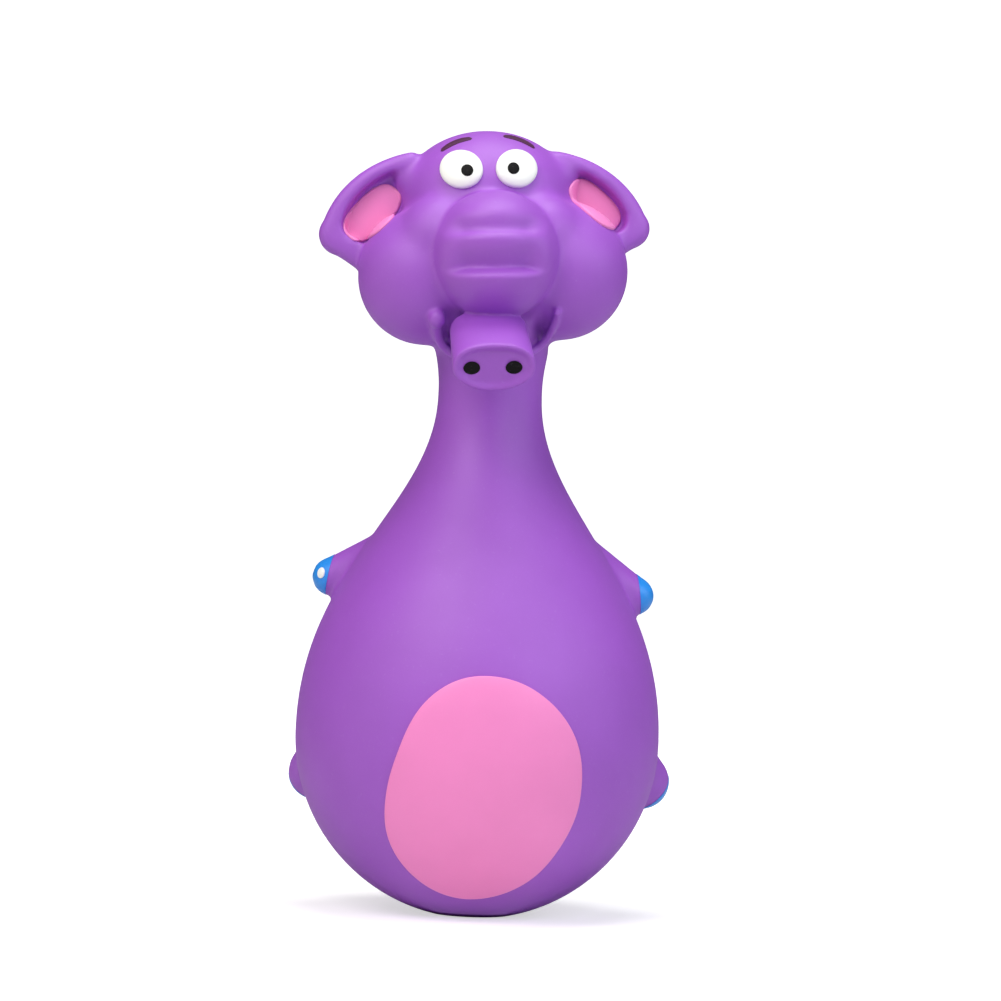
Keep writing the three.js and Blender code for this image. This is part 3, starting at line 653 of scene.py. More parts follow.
def oval(right, top, left, foot, square=2):
    """Reach of an egg shape with its own half size on each side; a higher square has corners"""

    def reach(turn):
        side = right if math.cos(turn) >= 0 else left
        rise = top if math.sin(turn) >= 0 else foot
        wide = abs(math.cos(turn) / side) ** square
        return (wide + abs(math.sin(turn) / rise) ** square) ** (-1 / square)

    return reach


def uneven(outline, shares):
    """An outline drawn in or out by shares that are given at even angles"""
    count = len(shares)

    def reach(turn):
        spot = turn / (2 * math.pi) * count
        start = math.floor(spot)
        way = spot - start
        a, b, c, d = (shares[(start + step) % count] for step in (-1, 0, 1, 2))
        curve = c - a + way * (2 * a - 5 * b + 4 * c - d + way * (3 * (b - c) + d - a))
        return outline(turn) * (b + 0.5 * way * curve)

    return reach


# Materials


def set_inputs(node, **values):
    """Gives a node's inputs their values; an underscore stands for a blank in a name"""
    for label, value in values.items():
        node.inputs[label.replace("_", " ")].default_value = value


def link(start, output, end, entry):
    end.id_data.links.new(start.outputs[output], end.inputs[entry])


def latex_grain():
    """Cloudy colour, powder specks and a fine pebbled surface, as dipped rubber has"""
    found = bpy.data.node_groups.get("Latex Grain")
    if found:
        return found
    group = bpy.data.node_groups.new("Latex Grain", "ShaderNodeTree")
    nodes = group.nodes
    for way, kind, labels in (
        ("INPUT", "Color", ("Colour", "Cloud colour")),
        ("INPUT", "Float", ("Cloud scale", "Grain scale", "Smoothest", "Roughest")),
        ("OUTPUT", "Color", ("Colour",)),
        ("OUTPUT", "Float", ("Roughness", "Height")),
    ):
        for label in labels:
            group.interface.new_socket(label, in_out=way, socket_type="NodeSocket" + kind)
    entry = nodes.new("NodeGroupInput")
    leave = nodes.new("NodeGroupOutput")
    where = nodes.new("ShaderNodeTexCoord")
    cloud, grain = (nodes.new("ShaderNodeTexNoise") for _ in range(2))
    for pattern, detail, scale in ((cloud, 3, "Cloud scale"), (grain, 4, "Grain scale")):
        set_inputs(pattern, Detail=detail)
        link(where, "Object", pattern, "Vector")
        link(entry, scale, pattern, "Scale")
    spread, speck, rough = (nodes.new("ShaderNodeMapRange") for _ in range(3))
    set_inputs(spread, From_Min=0.3, From_Max=0.7)
    link(cloud, "Fac", spread, "Value")
    shade, dust = (nodes.new("ShaderNodeMix") for _ in range(2))
    shade.data_type = dust.data_type = "RGBA"
    link(spread, "Result", shade, "Factor")
    link(entry, "Colour", shade, "A")
    link(entry, "Cloud colour", shade, "B")
    set_inputs(speck, From_Min=0.62, From_Max=0.78, To_Max=0.04)
    link(grain, "Fac", speck, "Value")
    dust.inputs["B"].default_value = (0.9, 0.86, 0.92, 1)
    link(speck, "Result", dust, "Factor")
    link(shade, "Result", dust, "A")
    link(cloud, "Fac", rough, "Value")
    link(entry, "Smoothest", rough, "To Min")
    link(entry, "Roughest", rough, "To Max")
    link(dust, "Result", leave, "Colour")
    link(rough, "Result", leave, "Roughness")
    link(grain, "Fac", leave, "Height")
    return group


def darker(tint, share):
    return [min(channel * share, 1) for channel in tint[:3]] + [1]


# Each finish: its colour, how dark its clouds are, its smoothest and roughest, its bump, its
# gloss, its coat and how deep light enters it
FINISHES = {
    "Purple latex": ("purple", 0.94, 0.5, 0.62, 0.07, 0.85, 0.0, 0.08),
    "Pink paint": ("pink", 0.96, 0.45, 0.55, 0.05, 0.5, 0.0, 0.05),
    "Blue paint": ("blue", 0.92, 0.34, 0.45, 0.04, 0.6, 0.15, 0.0),
    "White paint": ("white", 0.97, 0.4, 0.5, 0.03, 0.5, 0.0, 0.0),
    "Black paint": ("black", 0.8, 0.5, 0.6, 0.02, 0.15, 0.0, 0.0),
    "Brow paint": ("brown", 0.85, 0.5, 0.65, 0.05, 0.3, 0.0, 0.0),
    "Fibre filling": ("fibre", 0.85, 0.9, 1.0, 0.6, 0.1, 0.0, 0.0),
    "Moulded plastic": ("plastic", 0.96, 0.35, 0.45, 0.04, 0.5, 0.0, 0.0),
    "Reed film": ("film", 0.95, 0.2, 0.3, 0.02, 0.5, 0.0, 0.0),
}


def material(name):
    found = bpy.data.materials.get(name)
    if found:
        return found
    key, cloud, smooth, rough, bump, gloss, coat, depth = FINISHES[name]
    tint = list(getattr(bpy.context.scene.toy_colours, key))
    made = bpy.data.materials.new(name)
    made.use_nodes = True
    nodes = made.node_tree.nodes
    shader = nodes["Principled BSDF"]
    grain = nodes.new("ShaderNodeGroup")
    grain.node_tree = latex_grain()
    set_inputs(grain, Colour=tint, Cloud_colour=darker(tint, cloud))
    set_inputs(grain, Cloud_scale=60, Grain_scale=1600, Smoothest=smooth, Roughest=rough)
    link(grain, "Colour", shader, "Base Color")
    link(grain, "Roughness", shader, "Roughness")
    relief = nodes.new("ShaderNodeBump")
    set_inputs(relief, Strength=bump, Distance=0.2 * MM)
    link(grain, "Height", relief, "Height")
    link(relief, "Normal", shader, "Normal")
    set_inputs(shader, Specular_IOR_Level=gloss, Coat_Weight=coat, Coat_Roughness=0.25)
    if depth:
        set_inputs(shader, Subsurface_Weight=depth, Subsurface_Radius=(1.0, 0.5, 0.9))
        set_inputs(shader, Subsurface_Scale=SKIN)
    return made


# Operators


def head_place():
    sizes = bpy.context.scene.toy_head
    return (
        Matrix.Translation((0, 0, sizes.nod_height))
        @ Matrix.Rotation(sizes.turn, 4, "Z")
        @ Matrix.Rotation(sizes.tilt, 4, "Y")
    )


# The way that the white spot of painted highlight on the left arm's hoof is looked at, and its own
# sideways
HIGHLIGHT_LOOK = (0.5, 0.86, 0)
HIGHLIGHT_ACROSS = (0.86, -0.5, 0)
# Each limb's root, the middle of its round end, and where and which way its paint begins
LIMBS = {
    "arm_left": ((-22.2, 3, 79.0), (-34.9, 4.4, 75.9), (-35.2, 4.4, 76.1), (-0.985, 0.1, 0.17)),
    "arm_right": ((22.2, 3, 79.2), (35.0, 4.4, 74.1), (35.8, 4.4, 74.3), (0.985, 0.1, 0.12)),
    "foot_left": ((-33.3, 3.9, 34.9), (-36.9, 9.2, 30.6), (-38.2, 11.5, 28.8), (-0.42, 0.72, -0.55)),
    "foot_right": ((33.7, 5.5, 35.8), (38.3, 9.2, 31.3), (40.3, 10.8, 29.4), (0.62, 0.5, -0.6)),
}


class TOY_OT_add_body(Operator):
    """Belly skin with its arms and feet, hollow, and the painted hooves"""

    bl_idname = "toy.add_body"
    bl_label = "Belly, Arms and Feet"

    def execute(self, context):
        body = context.scene.toy_body
        limbs = context.scene.toy_limbs
        skin = spun("belly_skin", body_line(body)[:3] + [corner(0, body.waist_height)])
        for name, (root, tip, _, _) in LIMBS.items():
            kind = name.split("_")[0]
            thick, thin = getattr(limbs, f"{kind}_root"), getattr(limbs, f"{kind}_tip")
            form = limb_form(name, Vector(root) * MM, Vector(tip) * MM, thick, thin)
            skin = joined("belly_skin", skin, form)
        melt(skin, "belly skin")
        fit_belly(skin, body)
        for name, (_, _, point, way) in LIMBS.items():
            kind, word = name.split("_")
            point, way = Vector(point) * MM, Vector(way).normalized()
            hoof = limb_end(skin, f"{kind}_hoof_skin_{word}", point, way, body)
            thicken_paint(hoof, point, way, limbs.paint)
            finish_piece(hoof, "Blue paint", [f"{kind}_hoof_{word}"], "base")
        # A white spot painted on the left arm's hoof as its highlight
        self.toenail(limbs)
        low = body.pad_height
        mouth = [
            corner(0, -SKIN),
            corner(body.flange_seat, -SKIN),
            corner(body.flange_seat, body.flange_depth),
            corner(body.plug_hole, body.flange_depth),
            corner(body.plug_hole, low),
        ]
        line = mouth + hollow_line(body, SKIN, low)
        cavity = spun("belly_cavity", line, sides=120, steps=12)
        fit_belly(cavity, body, SKIN)
        skin = joined("belly_skin", skin, flipped(cavity))
        cut_level(skin, 0, True)
        cut_level(skin, body.belly_top, False)
        nodes = ["belly_shell", "arm_left", "arm_right", "foot_left", "foot_right"]
        finish_piece(skin, "Purple latex", nodes)
        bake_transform(skin)
        self.filling(body)
        return {"FINISHED"}

    def filling(self, body):
        """Loose fibre that fills the belly round and over the squeaker"""
        low = body.pad_height + SEAT
        pocket = [
            corner(0, body.pocket_top),
            corner(body.flange_seat, body.pocket_top),
            corner(body.flange_seat, low),
        ]
        line = pocket + hollow_line(body, SKIN + SEAT, low)
        fill = spun("belly_filling", line, sides=120, steps=12)
        cut_level(fill, body.belly_top, False)
        melt(fill, "belly filling")
        tufted(fill, 1)
        finish_piece(fill, "Fibre filling", ["belly_fill"])
        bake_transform(fill)

    def toenail(self, limbs):
        """A white spot of painted highlight that stands upright on the left arm's hoof"""
        nail = film(
            "toenail_paint",
            "toenail",
            bpy.data.objects["arm_hoof_skin_left"],
            limbs.nail,
            HIGHLIGHT_LOOK,
            HIGHLIGHT_ACROSS,
            oval(*(limbs.highlight_width, limbs.highlight_rise) * 2),
            limbs.highlight_proud,
        )
        # The painted highlight keeps the part file's name toenail
        finish_piece(nail, "White paint", ["toenail"], "base")


# The outline of an ear and of its hollow, as shares of its span and drop from the root's top,
# each knot given as its handle before, its place and its handle after
EAR_OUTLINE = (
    ((-0.1, -0.6), (-0.1, 0.03), (0.46, -0.02)),
    ((0.87, -0.3), (1.0, -0.68), (1.02, -0.76)),
    ((0.97, -0.84), (0.88, -0.88), (0.79, -0.92)),
    ((0.69, -0.98), (0.57, -1.06), (0.3, -1.0)),
)
EAR_HOLLOW = (
    ((-0.2, -0.6), (-0.2, -0.13), (0.3, -0.1)),
    ((0.62, -0.34), (0.73, -0.57), (0.76, -0.65)),
    ((0.74, -0.72), (0.67, -0.75), (0.6, -0.78)),
    ((0.53, -0.82), (0.44, -0.86), (0.3, -0.87)),
)
# How far out the foot of the root's line lies, as a share of the span
EAR_ROOT_RUN = 0.68


def ear_drop(side):
    ears = bpy.context.scene.toy_ears
    return ears.drop + (ears.longer if side < 0 else 0)


def ear_root(side):
    """Top of an ear's root, on the flap's front"""
    ears = bpy.context.scene.toy_ears
    return mirrored(ears.root, side) + Vector((ears.shift, 0, ears.lift if side < 0 else 0))


def ear_frame(side):
    """The top of an ear's root line, the line's way down, and the way out from it"""
    ears = bpy.context.scene.toy_ears
    root = ear_root(side) + Vector((0, ears.thickness / 2, 0))
    run = Vector((side * ears.span * EAR_ROOT_RUN, 0, -ear_drop(side))).normalized()
    out = Vector((-run.z * side, 0, run.x * side)).normalized()
    return root, run, out


def ear_turn(side):
    """The ear's lean back about its root line"""
    ears = bpy.context.scene.toy_ears
    root, run, _ = ear_frame(side)
    axis = run if side < 0 else -run
    return (
        Matrix.Translation(root)
        @ Matrix.Rotation(ears.sweep, 4, axis)
        @ Matrix.Translation(-root)
    )


def ear_plate(side, knots, depth, front):
    """A flat form with an ear's outline, its front at a given place"""
    ears = bpy.context.scene.toy_ears

    root = ear_root(side)

    def spot(share):
        return (root.x + side * ears.span * share[0], root.z + ear_drop(side) * share[1])

    outline = [tuple(spot(share) for share in knot) for knot in knots]
    plate = curve_points("ear_plate", outline, closed=True, steps=10)
    pick(plate)
    open_mesh()
    bpy.ops.mesh.select_mode(type="EDGE")
    bpy.ops.mesh.select_all(action="SELECT")
    bpy.ops.mesh.remove_doubles(threshold=0.01 * MM)
    bpy.ops.mesh.edge_face_add()
    bpy.ops.mesh.extrude_region_move(TRANSFORM_OT_translate={"value": (0, depth, 0)})
    bpy.ops.mesh.select_all(action="SELECT")
    bpy.ops.mesh.normals_make_consistent(inside=False)
    done()
    return moved(plate, Matrix.Translation((0, front, 0)))


def ear_form(side):
    """A cupped ear: an outline given its thickness, its edges rounded, and hollowed in front"""
    ears = bpy.context.scene.toy_ears
    front = ears.root[1]
    ear = ear_plate(side, EAR_OUTLINE, ears.thickness, front)
    for edge in ear.data.edges:
        a, b = (ear.data.vertices[i].co for i in edge.vertices)
        edge.select = abs(a.y - b.y) < TINY
    pick(ear)
    open_mesh()
    bpy.ops.mesh.bevel(offset=ears.rounding, segments=4, affect="EDGES")
    done()
    outward(ear)
    hole = ear_plate(side, EAR_HOLLOW, 2 * ears.hollow, front - ears.hollow)
    carve = ear.modifiers.new("Hollow", "BOOLEAN")
    carve.operation = "DIFFERENCE"
    carve.solver = "MANIFOLD"
    carve.object = hole
    apply_modifiers(ear)
    bpy.data.objects.remove(hole)
    return ear


# How far the upper and lower wrinkle's slopes run above and below its valley
CREASE_SLOPES = ((2.6 * MM, 1.7 * MM), (5.2 * MM, 0.9 * MM))
# How far the wrinkles sit to the left, and the shares of the roll's radius where they end
CREASE_SHIFT = 0.6 * MM
CREASE_ENDS = (0.5, 0.86)
# The wrinkles run level for this share, and round the roll's own axis for the rest
CREASE_LEVEL = 0.8
# What lies this near to the roll's ball is pressed in wholly, or not at all beyond
CREASE_SHELL = (1 * MM, 2.4 * MM)


def crease(points, sizes):
    """Presses the trunk's two wrinkles into the roll: each has a long slope above it, facing
    down, and a short one below"""
    offset = points - np.array(sizes.middle)
    away = np.linalg.norm(offset, axis=1)
    level = np.arcsin(np.clip(offset[:, 2] / np.maximum(away, TINY), -1, 1))
    round_ = np.arctan2(offset[:, 2], -offset[:, 1])
    rise = CREASE_LEVEL * level + (1 - CREASE_LEVEL) * round_
    start, end = (share * sizes.radius for share in CREASE_ENDS)
    fade = 1 - smoothstep(np.abs(offset[:, 0] + CREASE_SHIFT), start, end)
    fade *= offset[:, 1] < 0
    near, far = CREASE_SHELL
    on_ball = smoothstep(-np.abs(away - sizes.radius), -far, -near)
    depth = np.zeros(len(points))
    valleys = (sizes.upper_crease, sizes.lower_crease)
    depths = (sizes.upper_depth, sizes.lower_depth)
    for valley, deep, slopes in zip(valleys, depths, CREASE_SLOPES):
        apart = (rise - valley) * sizes.radius
        reach = np.where(apart > 0, *slopes)
        depth += deep * np.exp(-((apart / reach) ** 2))
    move = depth * fade * on_ball
    return points - offset / away[:, None] * move[:, None]


def tip_frame(sizes):
    """Places a unit of the trunk's tip: X across, Y up the end's face, Z out of the end"""
    out = Vector((0, -math.cos(sizes.slope), -math.sin(sizes.slope)))
    across = Vector((1, 0, 0))
    up = out.cross(across)
    turn = Matrix((across, up, out)).transposed().to_4x4()
    return Matrix.Translation(sizes.end) @ turn


# How square the tip's end is above and below its middle: 2 is an oval
TIP_SQUARE = (2.4, 2.05)
# The tip widens behind its end, over this stretch
TIP_FLARE = 0.6 * MM
FLARE_START = -1.2 * MM
FLARE_END = -4.5 * MM
# The rim's inner slope and the dish's inner ring
RIM_SLOPE = 0.5 * MM
DISH_RING = 3 * MM
# Of what the tip's end is drawn in sideways, its height is drawn in by this share
HEIGHT_SHARE = 0.9


def tip_form(sizes):
    """The short tube: a flattened cylinder with a rolled rim and a dished end"""
    unpick()
    bpy.ops.mesh.primitive_cylinder_add(
        vertices=96,
        radius=sizes.half_width,
        depth=sizes.tip_length,
        location=(0, 0, -sizes.tip_length / 2),
    )
    bpy.ops.object.transform_apply(location=True)
    tube = named("tip_form")
    for face in tube.data.polygons:
        face.select = face.normal.z > 0.5
    open_mesh()
    bpy.ops.mesh.select_mode(type="FACE")
    bpy.ops.mesh.inset(thickness=sizes.rim)
    bpy.ops.mesh.inset(thickness=RIM_SLOPE)
    bpy.ops.transform.translate(value=(0, 0, -sizes.recess))
    bpy.ops.mesh.inset(thickness=DISH_RING)
    bpy.ops.mesh.select_all(action="SELECT")
    bpy.ops.mesh.select_mode(type="EDGE")
    done()
    for edge in tube.data.edges:
        edge.select = all(abs(tube.data.vertices[i].co.z) < TINY for i in edge.vertices)
    open_mesh()
    bpy.ops.mesh.bevel(offset=sizes.rim_round, segments=3, affect="EDGES")
    done()
    points = points_of(tube)
    turn = np.arctan2(points[:, 1], points[:, 0])
    away = np.hypot(points[:, 0], points[:, 1])
    squareness = np.where(points[:, 1] > 0, *(2 / square for square in TIP_SQUARE))
    wide = np.sign(np.cos(turn)) * np.abs(np.cos(turn)) ** squareness
    high = np.sign(np.sin(turn)) * np.abs(np.sin(turn)) ** squareness
    flare = TIP_FLARE * (1 - smoothstep(points[:, 2], FLARE_END, FLARE_START))
    inset = sizes.half_width - away + flare
    points[:, 0] = wide * np.maximum(sizes.half_width - inset, 0)
    points[:, 1] = high * np.maximum(sizes.half_height - inset * HEIGHT_SHARE, 0)
    set_points(tube, points)
    return moved(outward(tube), tip_frame(sizes))


# A nostril's pit and the ring round it: their depth and height, the ring's radius and width
# as shares of the nostril's, and how near to the dish the skin has to be
PIT_DEPTH = 0.45 * MM
RING_HEIGHT = 0.1 * MM
RING_RADIUS = 1.5
RING_WIDTH = 0.35
DISH_NEAR = 1.2 * MM


def dimples(points, sizes):
    """Nostril pits in the end of the tip, each with a faint raised ring"""
    flat = tip_frame(sizes).inverted()
    local = points @ np.array(flat.to_3x3()).T + np.array(flat.translation)
    near = np.abs(local[:, 2] + sizes.recess) < DISH_NEAR
    move = np.zeros(len(points))
    for side in (-1, 1):
        apart = np.hypot(
            local[:, 0] - side * sizes.nostril_reach - sizes.nostril_shift,
            local[:, 1] + sizes.nostril_drop,
        )
        share = apart / sizes.nostril_radius
        move -= PIT_DEPTH * np.exp(-(share**4))
        move += RING_HEIGHT * np.exp(-(((share - RING_RADIUS) / RING_WIDTH) ** 2))
    local[:, 2] += move * near
    back = np.array(tip_frame(sizes).to_3x3())
    return local @ back.T + np.array(sizes.end)


# Each lip's way down from its nub: how far aside, how high, and its radius there
LIPS = {
    "left": (
        (13.1, 21.2, 1.7),
        (13.6, 18.6, 1.15),
        (12.4, 16.0, 0.95),
        (10.0, 13.8, 0.95),
        (6.6, 12.3, 1.1),
    ),
    "right": (
        (14.4, 22.2, 0.8),
        (14.2, 18.9, 0.95),
        (12.8, 16.2, 0.9),
        (10.6, 14.3, 0.9),
        (7.6, 13.0, 1.1),
    ),
}
# A lip stands this proud of the skin, and its nub is larger than its first radius
LIP_PROUD = 0.9 * MM
LIP_NUB = (1.15, 1.3, 1.35)
LIP_SIGHT = -60


def lip_form(carrier, word, side):
    """A lip that hangs from a nub on the cheek and runs in behind the tip"""
    spots = []
    for reach, rise, radius in LIPS[word]:
        start = Vector((side * reach, LIP_SIGHT, rise)) * MM
        spot, normal = seen_from(carrier, start, Vector((0, 1, 0)))
        spots.append((spot + normal * LIP_PROUD, radius))
    unpick()
    bpy.ops.curve.primitive_nurbs_path_add(location=(0, 0, 0))
    path = bpy.context.object
    spline = path.data.splines[0]
    for knot, (spot, radius) in zip(spline.points, spots):
        knot.co = (*spot, 1)
        knot.radius = radius
    path.data.bevel_depth = MM
    path.data.use_fill_caps = True
    path.data.bevel_resolution = 6
    path.data.resolution_u = 16
    bpy.ops.object.convert(target="MESH")
    ridge = outward(named("lip_form"))
    start, radius = spots[0]
    nub = ball("lip_nub", start, [share * radius * MM for share in LIP_NUB], 32, 20)
    return joined("lip_form", ridge, nub)


# The mouth's corners: their middles, half sizes and depth
MOUTH_CORNERS = ((-10.1, -18, 18.4), (11.5, -18, 18.4))
CORNER_SIZE = (1.7, 9, 2.8)
CORNER_DEPTH = 5.4 * MM


def mouth_hollows(points):
    """The mouth's corners, pressed in between each lip and the tip"""
    for middle in MOUTH_CORNERS:
        apart = (points - np.array(middle) * MM) / (np.array(CORNER_SIZE) * MM)
        points[:, 1] += CORNER_DEPTH * np.exp(-np.sum(apart**2, axis=1))
    return points


def in_head_frame(thing, change):
    """Moves a skin's points by a rule that is written in the head's own frame"""
    back = head_place().inverted()
    moved(thing, back)
    set_points(thing, change(points_of(thing)))
    return moved(thing, head_place())


# The trunk's tip hangs in front of this and stays whole where the neck is parted
TIP_BACK = -20 * MM
# The right temple sits this much above the middle of the two, and the left this much below
TEMPLE_LIFT = 0.4 * MM
# The neck's form runs up into the head and starts this far below the belly's top
NECK_TOP = 140 * MM
NECK_BELOW = 20 * MM


def part_neck(whole, names, body, nod):
    """Copies of a skin or filling from the belly to the lean's cut, and on to the nod's"""
    lower, upper = (copy_of(whole, name) for name in names)
    cut_level(lower, body.belly_top, True)
    cut_level(lower, body.lean_top, False)
    cut_level(upper, body.lean_top, True)
    cut(upper, *nod, False)
    return lower, upper


def bend_neck(lower, upper):
    """Bakes the places of the neck's two parts into their meshes"""
    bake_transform(lower)
    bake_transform(upper)


class TOY_OT_add_head(Operator):
    """Head skin with the trunk and lips, both neck skins and both ear skins, cut from one form"""

    bl_idname = "toy.add_head"
    bl_label = "Head, Neck and Ears"

    def execute(self, context):
        body = context.scene.toy_body
        head = context.scene.toy_head
        trunk = context.scene.toy_trunk
        ears = context.scene.toy_ears
        forms = [
            ball("cranium", head.cranium_middle, head.cranium),
            ball("core", head.core_middle, head.core),
            ball("chin", head.chin_middle, head.chin),
            ball("nape", head.nape_middle, (head.nape,) * 3),
        ]
        for word, side in SIDES:
            forms.append(ball("cheek", getattr(head, f"cheek_{word}"), (head.cheek,) * 3))
            forms.append(ball("bridge", mirrored(head.bridge_middle, side), (head.bridge,) * 3))
            temple = mirrored(head.temple_middle, side) + Vector((0, 0, side * TEMPLE_LIFT))
            forms.append(ball("temple", temple, (head.temple,) * 3))
        base = moved(joined("head_base", *forms), head_place())
        neck = spun("neck_form", body_line(body, top=[corner(0, NECK_TOP)]), sides=160, steps=48)
        cut_level(neck, body.belly_top - NECK_BELOW, True)
        base = joined("head_base", base, neck)
        melt(base, "head base")
        fit_head(base, body)
        core = copy_of(base, "head_core")
        roll = moved(ball("roll", trunk.middle, (trunk.radius,) * 3, 128, 96), head_place())
        flaps = []
        for word, side in SIDES:
            flaps.append(moved(ear_form(side), head_place() @ ear_turn(side)))
        skin = joined("head_skin", base, roll, *flaps)
        melt(skin, "head with roll")
        in_head_frame(skin, lambda points: crease(points, trunk))
        in_head_frame(skin, mouth_hollows)
        moved(skin, head_place().inverted())
        lips = [lip_form(skin, word, side) for word, side in SIDES]
        skin = joined("head_skin", skin, tip_form(trunk), *lips)
        moved(skin, head_place())
        melt(skin, "head skin")
        in_head_frame(skin, lambda points: dimples(points, trunk))
        fit_head(skin, body)

        place_ = head_place()
        frame_turn = place_.to_3x3()
        copy_of(skin, "liner_carrier")
        for word, side in SIDES:
            root, _, out = ear_frame(side)
            point = place_ @ (root + out * ears.cut)
            way = frame_turn @ out
            ear = copy_of(skin, f"ear_skin_{word}")
            cut(ear, point, way, True)
            cut(skin, point, way, False)
            finish_piece(ear, "Purple latex", [f"ear_{word}"])
            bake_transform(ear)

        cavity = copy_of(core, "head_cavity")
        shrink(cavity, SKIN)
        melt(cavity, "head cavity")
        in_head_frame(cavity, mouth_hollows)
        fit_head(cavity, body, SKIN)
        bpy.data.objects.remove(core)
        stuffing = copy_of(cavity, "head_filling")
        skin = joined("head_skin", skin, flipped(cavity))

        nod = place_ @ Vector((0, 0, head.cut_height)), frame_turn @ Vector((0, 0, 1))
        lower, upper = part_neck(skin, ("neck_lower_skin", "neck_upper_skin"), body, nod)
        cut(upper, (0, TIP_BACK, 0), (0, 1, 0), True)
        cut_level(skin, body.lean_top, True)
        cut(skin, *nod, True, TIP_BACK)
        for piece in (lower, upper):
            finish_piece(piece, "Purple latex", ["neck_sleeve"])
        bend_neck(lower, upper)
        nodes = ["head_shell", "trunk", "trunk_tip", "mouth_lip_left", "mouth_lip_right"]
        finish_piece(skin, "Purple latex", nodes, "head")
        self.filling(body, stuffing, nod)
        return {"FINISHED"}

    def filling(self, body, stuffing, nod):
        """Loose fibre in the neck and head, parted where the skins are"""
        shrink(stuffing, SEAT)
        melt(stuffing, "head filling")
        names = "neck_filling_lower", "neck_filling_upper"
        lower, upper = part_neck(stuffing, names, body, nod)
        cut(stuffing, *nod, True)
        for seed, (fill, node) in enumerate(
            ((lower, "neck_fill"), (upper, "neck_fill"), (stuffing, "head_fill"))
        ):
            tufted(fill, seed + 2)
            finish_piece(fill, "Fibre filling", [node])
        bend_neck(lower, upper)
        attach(stuffing, "head")


# How proud the thin paints stand, and how far a pupil and a brow sit from their pair's middle
PUPIL_PROUD = 0.2 * MM
NOSTRIL_PROUD = 0.1 * MM
BROW_PROUD = 0.25 * MM
LINER_PROUD = 0.8 * MM
PUPIL_RISE = 0.17 * MM
BROW_SHIFT = {"left": (-0.3 * MM, 0.3 * MM), "right": (0, 0.8 * MM)}
# A nostril's width and height as shares of its radius
NOSTRIL_SHARES = (1.08, 0.92)
# How square a brow's and a liner's outline is: 2 is an oval
BROW_SQUARE = 3.5
LINER_SQUARE = 2.6
# The liners' lean
LINER_SLANT = math.radians(-44)
# The hand-laid patch's reach at every 30 degrees from its right, as shares of an oval's
PATCH_SHARES = (1, 1.055, 1.03, 0.98, 0.94, 0.905, 0.95, 1.02, 1.02, 1.01, 0.98, 0.955)


class TOY_OT_add_patch(Operator):
    """Pink patch of thick paint on the belly"""

    bl_idname = "toy.add_patch"
    bl_label = "Belly Patch"

    def execute(self, context):
        sizes = context.scene.toy_patch
        patch = film(
            "belly_patch_paint",
            "patch",
            bpy.data.objects["belly_skin"],
            (0, 0, sizes.middle),
            (0, 1, 0),
            (1, 0, 0),
            uneven(
                oval(sizes.right, sizes.top - sizes.middle, sizes.left, sizes.middle - sizes.foot),
                PATCH_SHARES,
            ),
            sizes.thickness,
        )
        finish_piece(patch, "Pink paint", ["belly_patch"])
        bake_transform(patch)
        return {"FINISHED"}


class TOY_OT_add_face(Operator):
    """Eyes with pupils, brows and nostrils"""

    bl_idname = "toy.add_face"
    bl_label = "Eyes, Brows and Nostrils"

    def execute(self, context):
        sizes = context.scene.toy_face
        trunk = context.scene.toy_trunk
        skin = bpy.data.objects["head_skin"]
        to_world = head_place()
        turn = to_world.to_3x3()
        ahead = turn @ Vector((0, 1, 0))
        across = turn @ Vector((1, 0, 0))
        for word, side in SIDES:
            aside = side * sizes.eye_reach + sizes.eye_shift
            spot = to_world @ Vector((aside, 0, sizes.eye_height))
            eye = film(
                f"eye_dome_{word}",
                "eye",
                skin,
                spot,
                ahead,
                across,
                oval(sizes.eye_width, sizes.eye_rise, sizes.eye_width, sizes.eye_rise),
                sizes.eye_proud,
            )
            finish_piece(eye, "White paint", [f"eye_{word}"], "head")
            gaze = spot - across * (side * sizes.pupil_inset - sizes.pupil_shift)
            gaze += turn @ Vector((0, 0, side * PUPIL_RISE))
            round_ = oval(*(sizes.pupil_radius,) * 4)
            pupil = film(
                f"pupil_dot_{word}", "pupil", eye, gaze, ahead, across, round_, PUPIL_PROUD
            )
            finish_piece(pupil, "Black paint", [f"pupil_{word}"], "head")
            brow = self.brow(sizes, skin, to_world, word, side)
            finish_piece(brow, "Brow paint", [f"brow_{word}"], "head")
            hole = (
                to_world
                @ tip_frame(trunk)
                @ Vector((side * trunk.nostril_reach + trunk.nostril_shift, -trunk.nostril_drop, 0))
            )
            look = turn @ -(tip_frame(trunk).to_3x3() @ Vector((0, 0, 1)))
            wide, high = (share * trunk.nostril_radius for share in NOSTRIL_SHARES)
            nostril = film(
                f"nostril_dot_{word}",
                "nostril",
                skin,
                hole,
                look,
                across,
                oval(wide, high, wide, high),
                NOSTRIL_PROUD,
            )
            finish_piece(nostril, "Black paint", [f"nostril_{word}"], "head")
        return {"FINISHED"}

    def brow(self, sizes, skin, to_world, word, side):
        """A bowed stroke, thicker at its inner end"""
        aside, lift = BROW_SHIFT[word]
        reach = side * (sizes.brow_reach - sizes.brow_span / 2) + aside
        middle = Vector((reach, 0, sizes.brow_height + sizes.brow_rise / 2 + lift))
        rise = math.atan2(sizes.brow_rise, sizes.brow_span)
        turn = to_world.to_3x3()
        across = turn @ Vector((-side * math.cos(rise), 0, math.sin(rise)))
        half = math.hypot(sizes.brow_span, sizes.brow_rise) / 2
        return film(
            f"brow_stroke_{word}",
            "brow",
            skin,
            to_world @ middle,
            turn @ Vector((0, 1, 0)),
            across,
            oval(half, sizes.brow_thickness, half, sizes.brow_thickness, BROW_SQUARE),
            BROW_PROUD,
            sizes.brow_bow,
        )


# Each liner's middle from its ear's root, and its half length and half width
LINERS = {"left": ((-9.05, 0, -13.3), (7.8, 4.2)), "right": ((8.7, 0, -11.9), (7.3, 3.75))}


